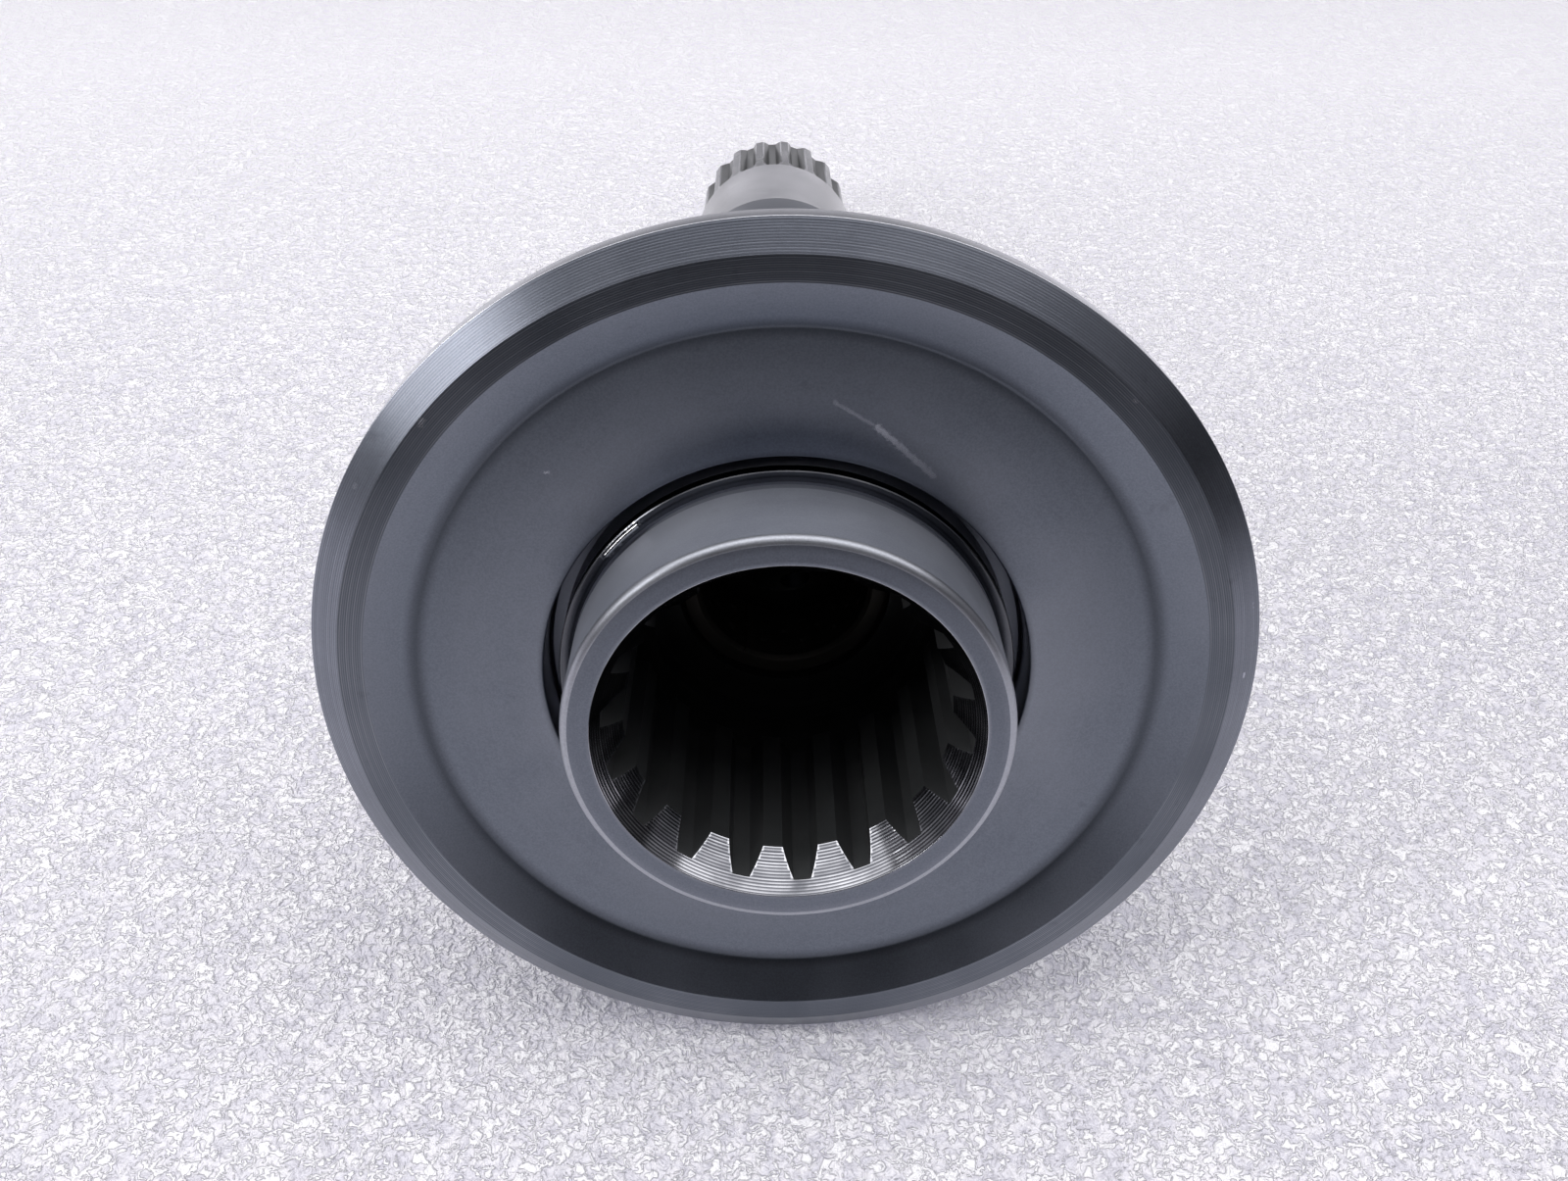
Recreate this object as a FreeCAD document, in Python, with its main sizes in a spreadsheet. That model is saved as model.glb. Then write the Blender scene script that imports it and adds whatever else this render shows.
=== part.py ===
import FreeCAD, Part
import math
import os
import Sketcher

# Transmission input shaft: a stem with an external spline at its far end, a round flange that
# carries the clutch drum, and a splined hub standing out of the flange's face.
# The shaft's axis is Y. The hub faces -Y and the stem runs towards +Y. The origin is on the
# axis, in the plane of the front edge of the flange's rim land.
# A station is a place along Y, and a radius is measured from the axis. Millimetres and degrees.

doc = FreeCAD.newDocument("input_shaft")
sheet = doc.addObject("Spreadsheet::Sheet", "Sizes")

drivingSizes = {
    # flange disc
    "rimRadius": 50.0,
    "rimLand": 2.2,
    "rimBevelWidth": 3.06,
    "rimBevelDepth": 1.9,
    "stopFaceWidth": 2.66,
    "coveWidth": 4.88,
    "webSetback": 2.2,
    "webThickness": 6.2,
    "rimRearChamfer": 2.6,
    "webRearMargin": 7.0,
    "bossWall": 5.1,
    "bossLength": 8.0,
    "bossFillet": 3.0,
    "bossChamfer": 1.0,
    "wellDepth": 5.7,
    # seat of the flange on the head of the stem, with the well inside it
    "wellGap": 1.6,
    "seatChamfer": 0.4,
    "seatMargin": 1.65,
    # circlip behind the flange
    "clipThickness": 1.75,
    "clipGrooveDepth": 1.2,
    "clipSlack": 0.05,
    "clipWidth": 2.6,
    "clipTaper": 1.0,
    "clipGap": 10.4,
    "clipLugAngle": 16.0,
    "clipLugRadius": 3.0,
    "clipHoleRadius": 1.25,
    # splined hub sleeve, from its spline outwards
    "hubSplineModule": 2.0,
    "hubSplineShift": -0.05,
    "hubSplineLength": 25.3,
    "hubWall": 4.0,
    "hubStandout": 9.4,
    "hubEdgeRound": 0.9,
    "hubUndercutWidth": 1.6,
    "hubUndercutDepth": 0.35,
    "hubMouthStep": 1.0,
    "hubConeAngle": 33.0,
    "hubReliefDepth": 0.4,
    "hubReliefWidth": 3.0,
    "hubLipHeight": 0.5,
    "hubLipWidth": 3.0,
    "hubIndex": -15.0,
    "collarRise": 1.3,
    "collarWidth": 4.0,
    "spigotStep": 1.0,
    "spigotChamfer": 0.5,
    # thrust ring round the foot of the hub
    "thrustRingWidth": 2.5,
    "thrustRingLip": 0.4,
    "thrustRingDish": 1.5,
    "thrustRingEdge": 0.12,
    # splines of both ends, with their shift, tip gap and gap depth as shares of the module
    "splineTeeth": 18.0,
    "pressureAngle": 30.0,
    "splineTipShare": 0.1,
    "splineDepthShare": 1.1,
    # pilot bushing and the bores behind the hub
    "pilotRadius": 10.0,
    "pilotWall": 2.5,
    "pilotLength": 12.0,
    "pilotSetback": 1.0,
    "pilotChamfer": 0.5,
    "lubeChamberRadius": 8.0,
    "lubeChamberLead": 3.5,
    "plugRadius": 6.0,
    "plugLength": 5.0,
    "plugWall": 1.0,
    "plugSetback": 1.0,
    "galleryRadius": 4.5,
    "crossHoleRadius": 2.0,
    "crossHoleCount": 4.0,
    # seal rings and their journal
    "sealJournalStep": 1.9,
    "sealPitch": 15.0,
    "sealGrooveWidth": 2.4,
    "sealGrooveDepth": 2.4,
    "sealSideSlack": 0.05,
    "sealRootSlack": 0.4,
    "sealProud": 0.15,
    "sealJointLength": 4.0,
    "sealJointGap": 0.3,
    "sealJointSlit": 0.08,
    "sealStagger": 120.0,
    "sealLandTail": 4.0,
    "sealLandChamfer": 0.5,
    # support bearing's journal behind the seal rings
    "bearingJournalStep": 1.5,
    "bearingJournalLength": 17.0,
    "bearingJournalChamfer": 1.0,
    # barrel, shoulder, bearing journal and far spline of the stem
    "barrelStep": 1.0,
    "barrelLength": 38.0,
    "barrelFillet": 2.0,
    "shoulderStep": 1.0,
    "shoulderTaper": 3.0,
    "shoulderLength": 12.5,
    "shoulderChamfer": 0.4,
    "stemJournalStep": 0.5,
    "stemJournalLength": 28.5,
    "stemSplineModule": 1.5,
    "stemSplineShift": 0.45,
    "stemSplineLength": 26.0,
    "stemSplineLead": 1.0,
    "stemSplineRunOut": 4.5,
    "stemSplineChamfer": 3.5,
    "stemIndex": -12.0,
    # nose with its seal ring and check ball
    "noseRadius": 10.0,
    "noseLength": 15.0,
    "noseChamfer": 1.0,
    "noseSealSection": 0.9,
    "noseSealGrooveWidth": 2.4,
    "noseSealGrooveDepth": 1.4,
    "noseSealSetback": 4.6,
    "capsuleRadius": 6.0,
    "capsuleLength": 8.0,
    "capsuleOrifice": 1.6,
    "capsuleSeatSetback": 2.35,
    "capsuleChamber": 2.75,
    "capsuleLip": 2.2,
    "capsuleLipWidth": 0.6,
    "capsuleSlotWidth": 1.2,
    "ballRadius": 2.5,
    "ballSlack": 0.02,
    # reach of a cut beyond the surface that it opens
    "cutOverrun": 1.0,
}
sealNames = ["front", "middle", "rear"]


class Size:
    """A length or an angle with its expression on the sheet and its value."""

    def __init__(self, text, value):
        self.text = text
        self.value = value

    def __add__(self, other):
        other = asSize(other)
        return Size("(%s + %s)" % (self.text, other.text), self.value + other.value)

    def __sub__(self, other):
        other = asSize(other)
        return Size("(%s - %s)" % (self.text, other.text), self.value - other.value)

    def __mul__(self, other):
        other = asSize(other)
        return Size("(%s * %s)" % (self.text, other.text), self.value * other.value)

    def __truediv__(self, other):
        other = asSize(other)
        return Size("(%s / %s)" % (self.text, other.text), self.value / other.value)

    def __neg__(self):
        return Size("(0 - %s)" % self.text, -self.value)


def asSize(number):
    return number if isinstance(number, Size) else Size(repr(float(number)), float(number))


def cosine(angle):
    return Size("cos(%s)" % angle.text, math.cos(math.radians(angle.value)))


def sine(angle):
    return Size("sin(%s)" % angle.text, math.sin(math.radians(angle.value)))


def tangent(angle):
    return Size("tan(%s)" % angle.text, math.tan(math.radians(angle.value)))


def rootOf(size):
    return Size("sqrt(%s)" % size.text, math.sqrt(size.value))


def fillSheet():
    for row, (alias, value) in enumerate(drivingSizes.items(), start=1):
        sheet.set("A%d" % row, alias)
        sheet.set("B%d" % row, str(value))
        sheet.setAlias("B%d" % row, alias)
    doc.recompute()


def size(alias):
    return Size("Sizes.%s" % alias, drivingSizes[alias])


fillSheet()

# Stations shared by more than one piece
stopFace = -size("rimBevelDepth")
webFace = stopFace + size("webSetback")
webRear = webFace + size("webThickness")
bossRear = webRear + size("bossLength")
headFront = webFace + size("wellDepth")
collarFront = headFront - size("collarWidth")
thrustRingFront = collarFront - size("thrustRingWidth")
thrustRingFoot = thrustRingFront + size("thrustRingDish")
hubFront = stopFace - size("hubStandout")
hubSplineEnd = hubFront + size("hubSplineLength")
hubReliefEnd = hubSplineEnd + size("hubReliefWidth")
spigotEnd = hubReliefEnd + size("hubLipWidth")
pilotFront = spigotEnd + size("pilotSetback")
pilotRear = pilotFront + size("pilotLength")
lubeChamberFront = pilotRear + size("pilotSetback")
lubeHoles = lubeChamberFront + size("crossHoleRadius") + size("pilotChamfer")
plugSeatFront = lubeHoles + size("lubeChamberLead")
plugFront = plugSeatFront + size("plugSetback")
plugRear = plugFront + size("plugLength")
plugSeatRear = plugRear + size("plugSetback")
galleryHoles = lubeHoles + size("sealPitch")
firstSeal = lubeHoles - size("sealPitch") / 2
sealStations = [firstSeal + size("sealPitch") * place for place in range(len(sealNames))]
clipRear = bossRear + size("clipThickness")
seatRear = clipRear + size("clipSlack") * 2 + size("seatMargin")
sealLandRear = sealStations[-1] + size("sealLandTail")
bearingJournalRear = sealLandRear + size("bearingJournalLength")
barrelRear = bearingJournalRear + size("barrelLength")
shoulderFront = barrelRear + size("shoulderTaper")
shoulderRear = shoulderFront + size("shoulderLength")
stemJournalRear = shoulderRear + size("stemJournalLength")
splineRear = stemJournalRear + size("stemSplineLength")
noseRear = splineRear + size("noseLength")
capsuleFront = noseRear - size("capsuleLength")
noseSealStation = noseRear - size("noseSealSetback")


def splineReference(end):
    """The reference diameter of one end's spline, by the rule for involute splines."""
    share = size("splineTeeth") + size(end + "SplineShift") * 2 + size("splineDepthShare")
    return size(end + "SplineModule") * share


# Radii shared by more than one piece, from the splines outwards
hubSplineRoot = splineReference("hub") / 2
hubSplineTip = hubSplineRoot - size("hubSplineModule")
hubRadius = hubSplineRoot + size("hubWall")
spigotRadius = hubRadius - size("spigotStep")
collarRadius = hubRadius + size("collarRise")
seatRadius = collarRadius + size("wellGap")
bossRadius = seatRadius + size("bossWall")
stemSplineTip = splineReference("stem") / 2 - size("stemSplineModule") * size("splineTipShare")
stemSplineRoot = splineReference("stem") / 2 - size("stemSplineModule") * size("splineDepthShare")
stemJournalRadius = splineReference("stem") / 2 + size("stemJournalStep")
shoulderRadius = stemJournalRadius + size("shoulderStep")
barrelRadius = shoulderRadius + size("barrelStep")
sealJournalRadius = seatRadius - size("sealJournalStep")
bearingJournalRadius = sealJournalRadius - size("bearingJournalStep")
clipGrooveRadius = seatRadius - size("clipGrooveDepth")
sealGrooveRadius = sealJournalRadius - size("sealGrooveDepth")
noseSealRadius = size("noseRadius") - size("noseSealGrooveDepth")
pilotSeatRadius = size("pilotRadius") + size("pilotWall")


def newBody(label):
    body = doc.addObject("PartDesign::Body", label)
    body.Label = label
    return body


def turnBody(body, angle):
    """Turn a finished body about the shaft's axis."""
    rotation = FreeCAD.Rotation(FreeCAD.Vector(0, 1, 0), angle.value)
    body.Placement = FreeCAD.Placement(FreeCAD.Vector(0, 0, 0), rotation)
    body.setExpression("Placement.Rotation.Angle", angle.text)


def originFeature(body, role):
    return [feature for feature in body.Origin.OriginFeatures if feature.Role == role][0]


def newSketch(body, name, plane, station=None):
    """Attach a sketch to an origin plane of its body, moved to a station along the axis."""
    sketch = body.newObject("Sketcher::SketchObject", name)
    sketch.AttachmentSupport = [(originFeature(body, plane), "")]
    sketch.MapMode = "FlatFace"
    if station is not None:
        sketch.AttachmentOffset = FreeCAD.Placement(FreeCAD.Vector(0, 0, -station.value), FreeCAD.Rotation())
        sketch.setExpression("AttachmentOffset.Base.z", (-station).text)
    return sketch


def dimension(sketch, kind, arguments, value):
    """Add a named constraint whose value comes from the sheet."""
    index = sketch.addConstraint(Sketcher.Constraint(kind, *arguments, value.value))
    name = "%s%d" % (kind[0].lower() + kind[1:], index)
    sketch.renameConstraint(index, name)
    sketch.setExpression("Constraints.%s" % name, value.text)


def placePoint(sketch, geometry, end, across, along):
    """Hold a point at its two distances from the sketch's origin. None holds it on the axis."""
    if across is None:
        sketch.addConstraint(Sketcher.Constraint("PointOnObject", geometry, end, -2))
    else:
        dimension(sketch, "DistanceX", (-1, 1, geometry, end), across)
    if along is None:
        sketch.addConstraint(Sketcher.Constraint("PointOnObject", geometry, end, -1))
    else:
        dimension(sketch, "DistanceY", (-1, 1, geometry, end), along)


def cornerPoint(corner):
    return FreeCAD.Vector(*[0.0 if place is None else place.value for place in corner[:2]], 0)


def drawOutline(sketch, corners):
    """Draw a closed outline through corners (across, along), a third entry being a corner's round."""
    count = len(corners)
    points = [cornerPoint(corner) for corner in corners]
    starts = list(points)
    ends = list(points)
    for place, corner in enumerate(corners):
        if len(corner) == 3:
            back = (points[place - 1] - points[place]).normalize()
            onward = (points[(place + 1) % count] - points[place]).normalize()
            reach = corner[2].value / math.tan(back.getAngle(onward) / 2)
            ends[place] = points[place] + back * reach
            starts[place] = points[place] + onward * reach
    lines = []
    for place in range(count):
        after = (place + 1) % count
        lines.append(sketch.addGeometry(Part.LineSegment(starts[place], ends[after])))
    for place, corner in enumerate(corners):
        before = lines[place - 1]
        if len(corner) == 3:
            roundCorner(sketch, before, lines[place], corner, points[place], ends[place], starts[place])
        else:
            sketch.addConstraint(Sketcher.Constraint("Coincident", before, 2, lines[place], 1))
            placePoint(sketch, lines[place], 1, corner[0], corner[1])


def drawArc(sketch, centre, first, last):
    """Draw the shorter arc between two points, and give its number and its ends at the points."""
    radius = centre.distanceToPoint(first)
    turns = [math.atan2(point.y - centre.y, point.x - centre.x) for point in (first, last)]
    ends = (1, 2)
    if (turns[1] - turns[0]) % (2 * math.pi) > math.pi:
        turns.reverse()
        ends = (2, 1)
    if turns[1] < turns[0]:
        turns[1] += 2 * math.pi
    circle = Part.Circle(centre, FreeCAD.Vector(0, 0, 1), radius)
    return sketch.addGeometry(Part.ArcOfCircle(circle, *turns)), ends


def roundCorner(sketch, before, after, corner, point, arcStart, arcEnd):
    """Join two lines by a tangent arc, with the sharp corner held by a construction point."""
    towards = (arcStart - point).normalize() + (arcEnd - point).normalize()
    half = (arcStart - point).getAngle(arcEnd - point) / 2
    centre = point + towards.normalize() * (corner[2].value / math.sin(half))
    arc, (startEnd, farEnd) = drawArc(sketch, centre, arcStart, arcEnd)
    sharp = sketch.addGeometry(Part.Point(point), True)
    sketch.addConstraint(Sketcher.Constraint("Tangent", before, 2, arc, startEnd))
    sketch.addConstraint(Sketcher.Constraint("Tangent", after, 1, arc, farEnd))
    sketch.addConstraint(Sketcher.Constraint("PointOnObject", sharp, 1, before))
    sketch.addConstraint(Sketcher.Constraint("PointOnObject", sharp, 1, after))
    dimension(sketch, "Radius", (arc,), corner[2])
    placePoint(sketch, sharp, 1, corner[0], corner[1])


def turnSketch(body, kind, name, sketch):
    """Turn a sketch right round the shaft's axis, as a Revolution or as a Groove."""
    feature = body.newObject("PartDesign::" + kind, name)
    feature.Profile = sketch
    feature.ReferenceAxis = (sketch, ["V_Axis"])
    feature.Angle = 360
    return feature


def revolveOutline(body, name, corners):
    """Turn an outline of (radius, station) corners about the shaft's axis."""
    sketch = newSketch(body, name + "Profile", "XY_Plane")
    drawOutline(sketch, corners)
    turnSketch(body, "Revolution", name, sketch)


def grooveOutline(body, name, corners):
    """Turn an outline of (radius, station) corners out of the body."""
    sketch = newSketch(body, name + "Profile", "XY_Plane")
    drawOutline(sketch, corners)
    return turnSketch(body, "Groove", name, sketch)


def pocketSketch(body, name, sketch, depth, bothWays=False):
    """Cut a sketch out of the body, towards +Y from its station, or to both sides of it."""
    pocket = body.newObject("PartDesign::Pocket", name)
    pocket.Profile = sketch
    pocket.Midplane = bothWays
    pocket.setExpression("Length", depth.text)
    return pocket


def padSketch(body, name, sketch, depth):
    """Raise a sketch towards +Y from its station."""
    pad = body.newObject("PartDesign::Pad", name)
    pad.Profile = sketch
    pad.Reversed = True
    pad.setExpression("Length", depth.text)


def repeatAround(body, name, features, countAlias):
    """Repeat features round the shaft's axis."""
    pattern = body.newObject("PartDesign::PolarPattern", name)
    pattern.Originals = features
    pattern.Axis = (originFeature(body, "Y_Axis"), [""])
    pattern.Angle = 360
    pattern.setExpression("Occurrences", "Sizes.%s" % countAlias)
    body.Tip = pattern


def drawCircle(sketch, radius, across=None, along=None):
    centre = cornerPoint((across, along))
    circle = sketch.addGeometry(Part.Circle(centre, FreeCAD.Vector(0, 0, 1), radius.value))
    placePoint(sketch, circle, 3, across, along)
    dimension(sketch, "Radius", (circle,), radius)


def drawBox(sketch, left, right, low, high):
    drawOutline(sketch, [(left, low), (right, low), (right, high), (left, high)])


def flankAngle(end, onHub):
    """Half the angle of a spline gap at the pitch circle, by the rule for involute splines."""
    module = size(end + "SplineModule")
    pitchRadius = module * size("splineTeeth") / 2
    widening = module * size(end + "SplineShift") * tangent(size("pressureAngle")) * 2
    half = (module * math.pi / 2 + widening) / 2 if onHub else (module * math.pi / 2 - widening) / 2
    return half / pitchRadius * (180 / math.pi)


def drawGap(sketch, end, rootRadius, openRadius, onHub):
    """Draw one gap between two spline teeth, centred on the sketch's X axis.

    Each flank is one arc with the involute's own radius of curvature at the pitch circle,
    centred where the line of action touches the base circle.
    """
    angle = size("pressureAngle")
    pitchRadius = size(end + "SplineModule") * size("splineTeeth") / 2
    baseRadius = pitchRadius * cosine(angle)
    flankRadius = pitchRadius * sine(angle)
    half = flankAngle(end, onHub)
    centreAngle = half - angle if onHub else half + angle
    centreX = baseRadius * cosine(centreAngle)
    centreY = baseRadius * sine(centreAngle)

    def flankPoint(radius):
        """The flank's point at a radius from the axis, on the upper side of the gap."""
        base = baseRadius.value
        swing = math.acos((radius ** 2 + base ** 2 - flankRadius.value ** 2) / (2 * radius * base))
        swing = swing if onHub else -swing
        turn = math.radians(centreAngle.value) + swing
        return FreeCAD.Vector(radius * math.cos(turn), radius * math.sin(turn), 0)

    rootUp = flankPoint(rootRadius.value)
    reach = openRadius.value - centreX.value
    rise = math.sqrt(flankRadius.value ** 2 - reach ** 2)
    openUp = FreeCAD.Vector(openRadius.value, centreY.value + (rise if onHub else -rise), 0)
    rootDown = FreeCAD.Vector(rootUp.x, -rootUp.y, 0)
    openDown = FreeCAD.Vector(openUp.x, -openUp.y, 0)
    axis = FreeCAD.Vector(0, 0, 0)
    rootLine, rootEnds = drawArc(sketch, axis, rootDown, rootUp)
    openLine = sketch.addGeometry(Part.LineSegment(openDown, openUp))
    sketch.addConstraint(Sketcher.Constraint("Coincident", rootLine, 3, -1, 1))
    dimension(sketch, "Radius", (rootLine,), rootRadius)
    sketch.addConstraint(Sketcher.Constraint("Vertical", openLine))
    dimension(sketch, "DistanceX", (-1, 1, openLine, 1), openRadius)
    for place, (side, root, opening) in enumerate(((-1, rootDown, openDown), (1, rootUp, openUp))):
        centre = FreeCAD.Vector(centreX.value, side * centreY.value, 0)
        flank, (rootEnd, openEnd) = drawArc(sketch, centre, root, opening)
        sketch.addConstraint(Sketcher.Constraint("Coincident", flank, rootEnd, rootLine, rootEnds[place]))
        sketch.addConstraint(Sketcher.Constraint("Coincident", flank, openEnd, openLine, place + 1))
        dimension(sketch, "Radius", (flank,), flankRadius)
        placePoint(sketch, flank, 3, centreX, centreY * side)


def makeStemShaft():
    """The stem: flange seat, seal journal, bearing journal, barrel, far journal, spline and nose."""
    body = newBody("stem_shaft")
    chamfer = size("seatChamfer")
    landChamfer = size("sealLandChamfer")
    journalChamfer = size("bearingJournalChamfer")
    nose = size("noseRadius")
    gallery = size("galleryRadius")
    revolveOutline(body, "Turning", [
        (spigotRadius, headFront),
        (seatRadius - chamfer, headFront),
        (seatRadius, headFront + chamfer),
        (seatRadius, seatRear),
        (sealJournalRadius, seatRear + size("sealJournalStep")),
        (sealJournalRadius, sealLandRear - landChamfer),
        (sealJournalRadius - landChamfer, sealLandRear),
        (bearingJournalRadius, sealLandRear),
        (bearingJournalRadius, bearingJournalRear - journalChamfer),
        (bearingJournalRadius - journalChamfer, bearingJournalRear),
        (barrelRadius, bearingJournalRear, size("barrelFillet")),
        (barrelRadius, barrelRear),
        (shoulderRadius, shoulderFront),
        (shoulderRadius, shoulderRear - size("shoulderChamfer")),
        (shoulderRadius - size("shoulderChamfer"), shoulderRear),
        (stemJournalRadius, shoulderRear),
        (stemJournalRadius, stemJournalRear),
        (stemSplineTip, stemJournalRear + (stemJournalRadius - stemSplineTip)),
        (stemSplineTip, splineRear - size("stemSplineChamfer")),
        (stemSplineRoot, splineRear),
        (nose, splineRear),
        (nose, noseRear - size("noseChamfer")),
        (nose - size("noseChamfer"), noseRear),
        (size("capsuleRadius"), noseRear),
        (size("capsuleRadius"), capsuleFront),
        (gallery, capsuleFront),
        (gallery, plugSeatRear),
        (size("plugRadius"), plugSeatRear),
        (size("plugRadius"), plugSeatFront),
        (size("lubeChamberRadius"), plugSeatFront),
        (size("lubeChamberRadius"), lubeChamberFront),
        (pilotSeatRadius, lubeChamberFront),
        (pilotSeatRadius, spigotEnd),
        (spigotRadius, spigotEnd),
    ])
    cutClipGroove(body)
    cutSealGrooves(body)
    cutNoseSealGroove(body)
    drillCrossHoles(body, "LubeHoles", lubeHoles)
    drillCrossHoles(body, "GalleryHoles", galleryHoles)
    cutStemSpline(body)
    turnBody(body, size("stemIndex"))
    return body


def cutClipGroove(body):
    outside = seatRadius + size("cutOverrun")
    rear = clipRear + size("clipSlack") * 2
    grooveOutline(body, "ClipGroove", [
        (clipGrooveRadius, bossRear), (outside, bossRear), (outside, rear), (clipGrooveRadius, rear)])


def cutSealGrooves(body):
    half = size("sealGrooveWidth") / 2
    outside = sealJournalRadius + size("cutOverrun")
    groove = grooveOutline(body, "SealGroove", [
        (sealGrooveRadius, firstSeal - half),
        (outside, firstSeal - half),
        (outside, firstSeal + half),
        (sealGrooveRadius, firstSeal + half),
    ])
    pattern = body.newObject("PartDesign::LinearPattern", "SealGrooves")
    pattern.Originals = [groove]
    pattern.Direction = (originFeature(body, "Y_Axis"), [""])
    pattern.Occurrences = len(sealStations)
    pattern.setExpression("Length", (size("sealPitch") * (len(sealStations) - 1)).text)
    body.Tip = pattern


def cutNoseSealGroove(body):
    half = size("noseSealGrooveWidth") / 2
    outside = size("noseRadius") + size("cutOverrun")
    grooveOutline(body, "NoseSealGroove", [
        (noseSealRadius, noseSealStation - half),
        (outside, noseSealStation - half),
        (outside, noseSealStation + half),
        (noseSealRadius, noseSealStation + half),
    ])


def drillCrossHoles(body, name, station):
    """Drill oil holes from the seal journal into the bore, evenly spaced round it."""
    sketch = newSketch(body, name + "Circle", "YZ_Plane")
    drawCircle(sketch, size("crossHoleRadius"), station, None)
    hole = body.newObject("PartDesign::Pocket", name + "Drill")
    hole.Profile = sketch
    hole.Reversed = True
    hole.setExpression("Length", (sealJournalRadius + size("cutOverrun")).text)
    repeatAround(body, name, [hole], "crossHoleCount")


def cutStemSpline(body):
    """Cut the gaps of the far spline, each running out to the surface behind its full depth."""
    fullDepth = stemJournalRear + size("stemSplineLead") + size("stemSplineRunOut")
    sketch = newSketch(body, "StemGapProfile", "XZ_Plane", fullDepth)
    drawGap(sketch, "stem", stemSplineRoot, stemSplineTip + size("cutOverrun"), False)
    straight = pocketSketch(body, "StemGap", sketch, splineRear - fullDepth)
    lift = stemSplineTip - stemSplineRoot
    runOut = body.newObject("PartDesign::Pocket", "StemGapRunOut")
    runOut.Profile = sketch
    runOut.UseCustomVector = True
    runOut.AlongSketchNormal = True
    runOut.Direction = FreeCAD.Vector(lift.value, -size("stemSplineRunOut").value, 0)
    runOut.setExpression("Direction.x", lift.text)
    runOut.setExpression("Direction.y", (-size("stemSplineRunOut")).text)
    runOut.setExpression("Length", size("stemSplineRunOut").text)
    repeatAround(body, "StemSpline", [straight, runOut], "splineTeeth")


def makeFlangeDisc():
    """The flange: bevelled rim, flat stop face, cove down to the web, and a boss on its back."""
    body = newBody("flange_disc")
    rim = size("rimRadius")
    stopOuter = rim - size("rimBevelWidth")
    coveTop = stopOuter - size("stopFaceWidth")
    coveFoot = coveTop - size("coveWidth")
    rimRear = size("rimLand") + size("rimRearChamfer")
    revolveOutline(body, "Turning", [
        (seatRadius, webFace),
        (coveFoot, webFace),
        (coveTop, stopFace),
        (stopOuter, stopFace),
        (rim, None),
        (rim, size("rimLand")),
        (rim - size("rimRearChamfer"), rimRear),
        (rim - size("webRearMargin"), webRear),
        (bossRadius, webRear, size("bossFillet")),
        (bossRadius, bossRear - size("bossChamfer")),
        (bossRadius - size("bossChamfer"), bossRear),
        (seatRadius, bossRear),
    ])
    return body


def makeHubSleeve():
    """The hub: an internally splined sleeve with a collar, pressed into the head of the stem."""
    body = newBody("hub_sleeve")
    mouth = hubSplineRoot + size("hubMouthStep")
    relief = hubSplineRoot + size("hubReliefDepth")
    lip = hubSplineTip - size("hubLipHeight")
    chamfer = size("spigotChamfer")
    coneDepth = (mouth - hubSplineTip) / tangent(size("hubConeAngle"))
    undercut = size("hubUndercutDepth")
    undercutFront = thrustRingFoot - size("hubUndercutWidth")
    revolveOutline(body, "Turning", [
        (mouth, hubFront),
        (hubRadius, hubFront, size("hubEdgeRound")),
        (hubRadius, undercutFront),
        (hubRadius - undercut, undercutFront + undercut),
        (hubRadius - undercut, thrustRingFoot),
        (hubRadius, thrustRingFoot),
        (hubRadius, collarFront),
        (collarRadius, collarFront),
        (collarRadius, headFront),
        (spigotRadius, headFront),
        (spigotRadius, spigotEnd - chamfer),
        (spigotRadius - chamfer, spigotEnd),
        (lip, spigotEnd),
        (lip, hubReliefEnd),
        (relief, hubReliefEnd),
        (relief, hubSplineEnd),
        (hubSplineTip, hubSplineEnd),
        (hubSplineTip, hubFront + coneDepth),
    ])
    sketch = newSketch(body, "HubGapProfile", "XZ_Plane", hubFront)
    drawGap(sketch, "hub", hubSplineRoot, hubSplineTip - size("cutOverrun"), True)
    gap = pocketSketch(body, "HubGap", sketch, size("hubSplineLength"))
    repeatAround(body, "HubSpline", [gap], "splineTeeth")
    turnBody(body, size("hubIndex"))
    return body


def makeThrustRing():
    """The bright ring round the foot of the hub, dished towards the hub, against its collar."""
    body = newBody("hub_thrust_ring")
    edge = size("thrustRingEdge")
    revolveOutline(body, "Turning", [
        (hubRadius, thrustRingFoot),
        (collarRadius - size("thrustRingLip"), thrustRingFront),
        (collarRadius - edge, thrustRingFront),
        (collarRadius, thrustRingFront + edge),
        (collarRadius, collarFront),
        (hubRadius, collarFront),
    ])
    return body


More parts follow.
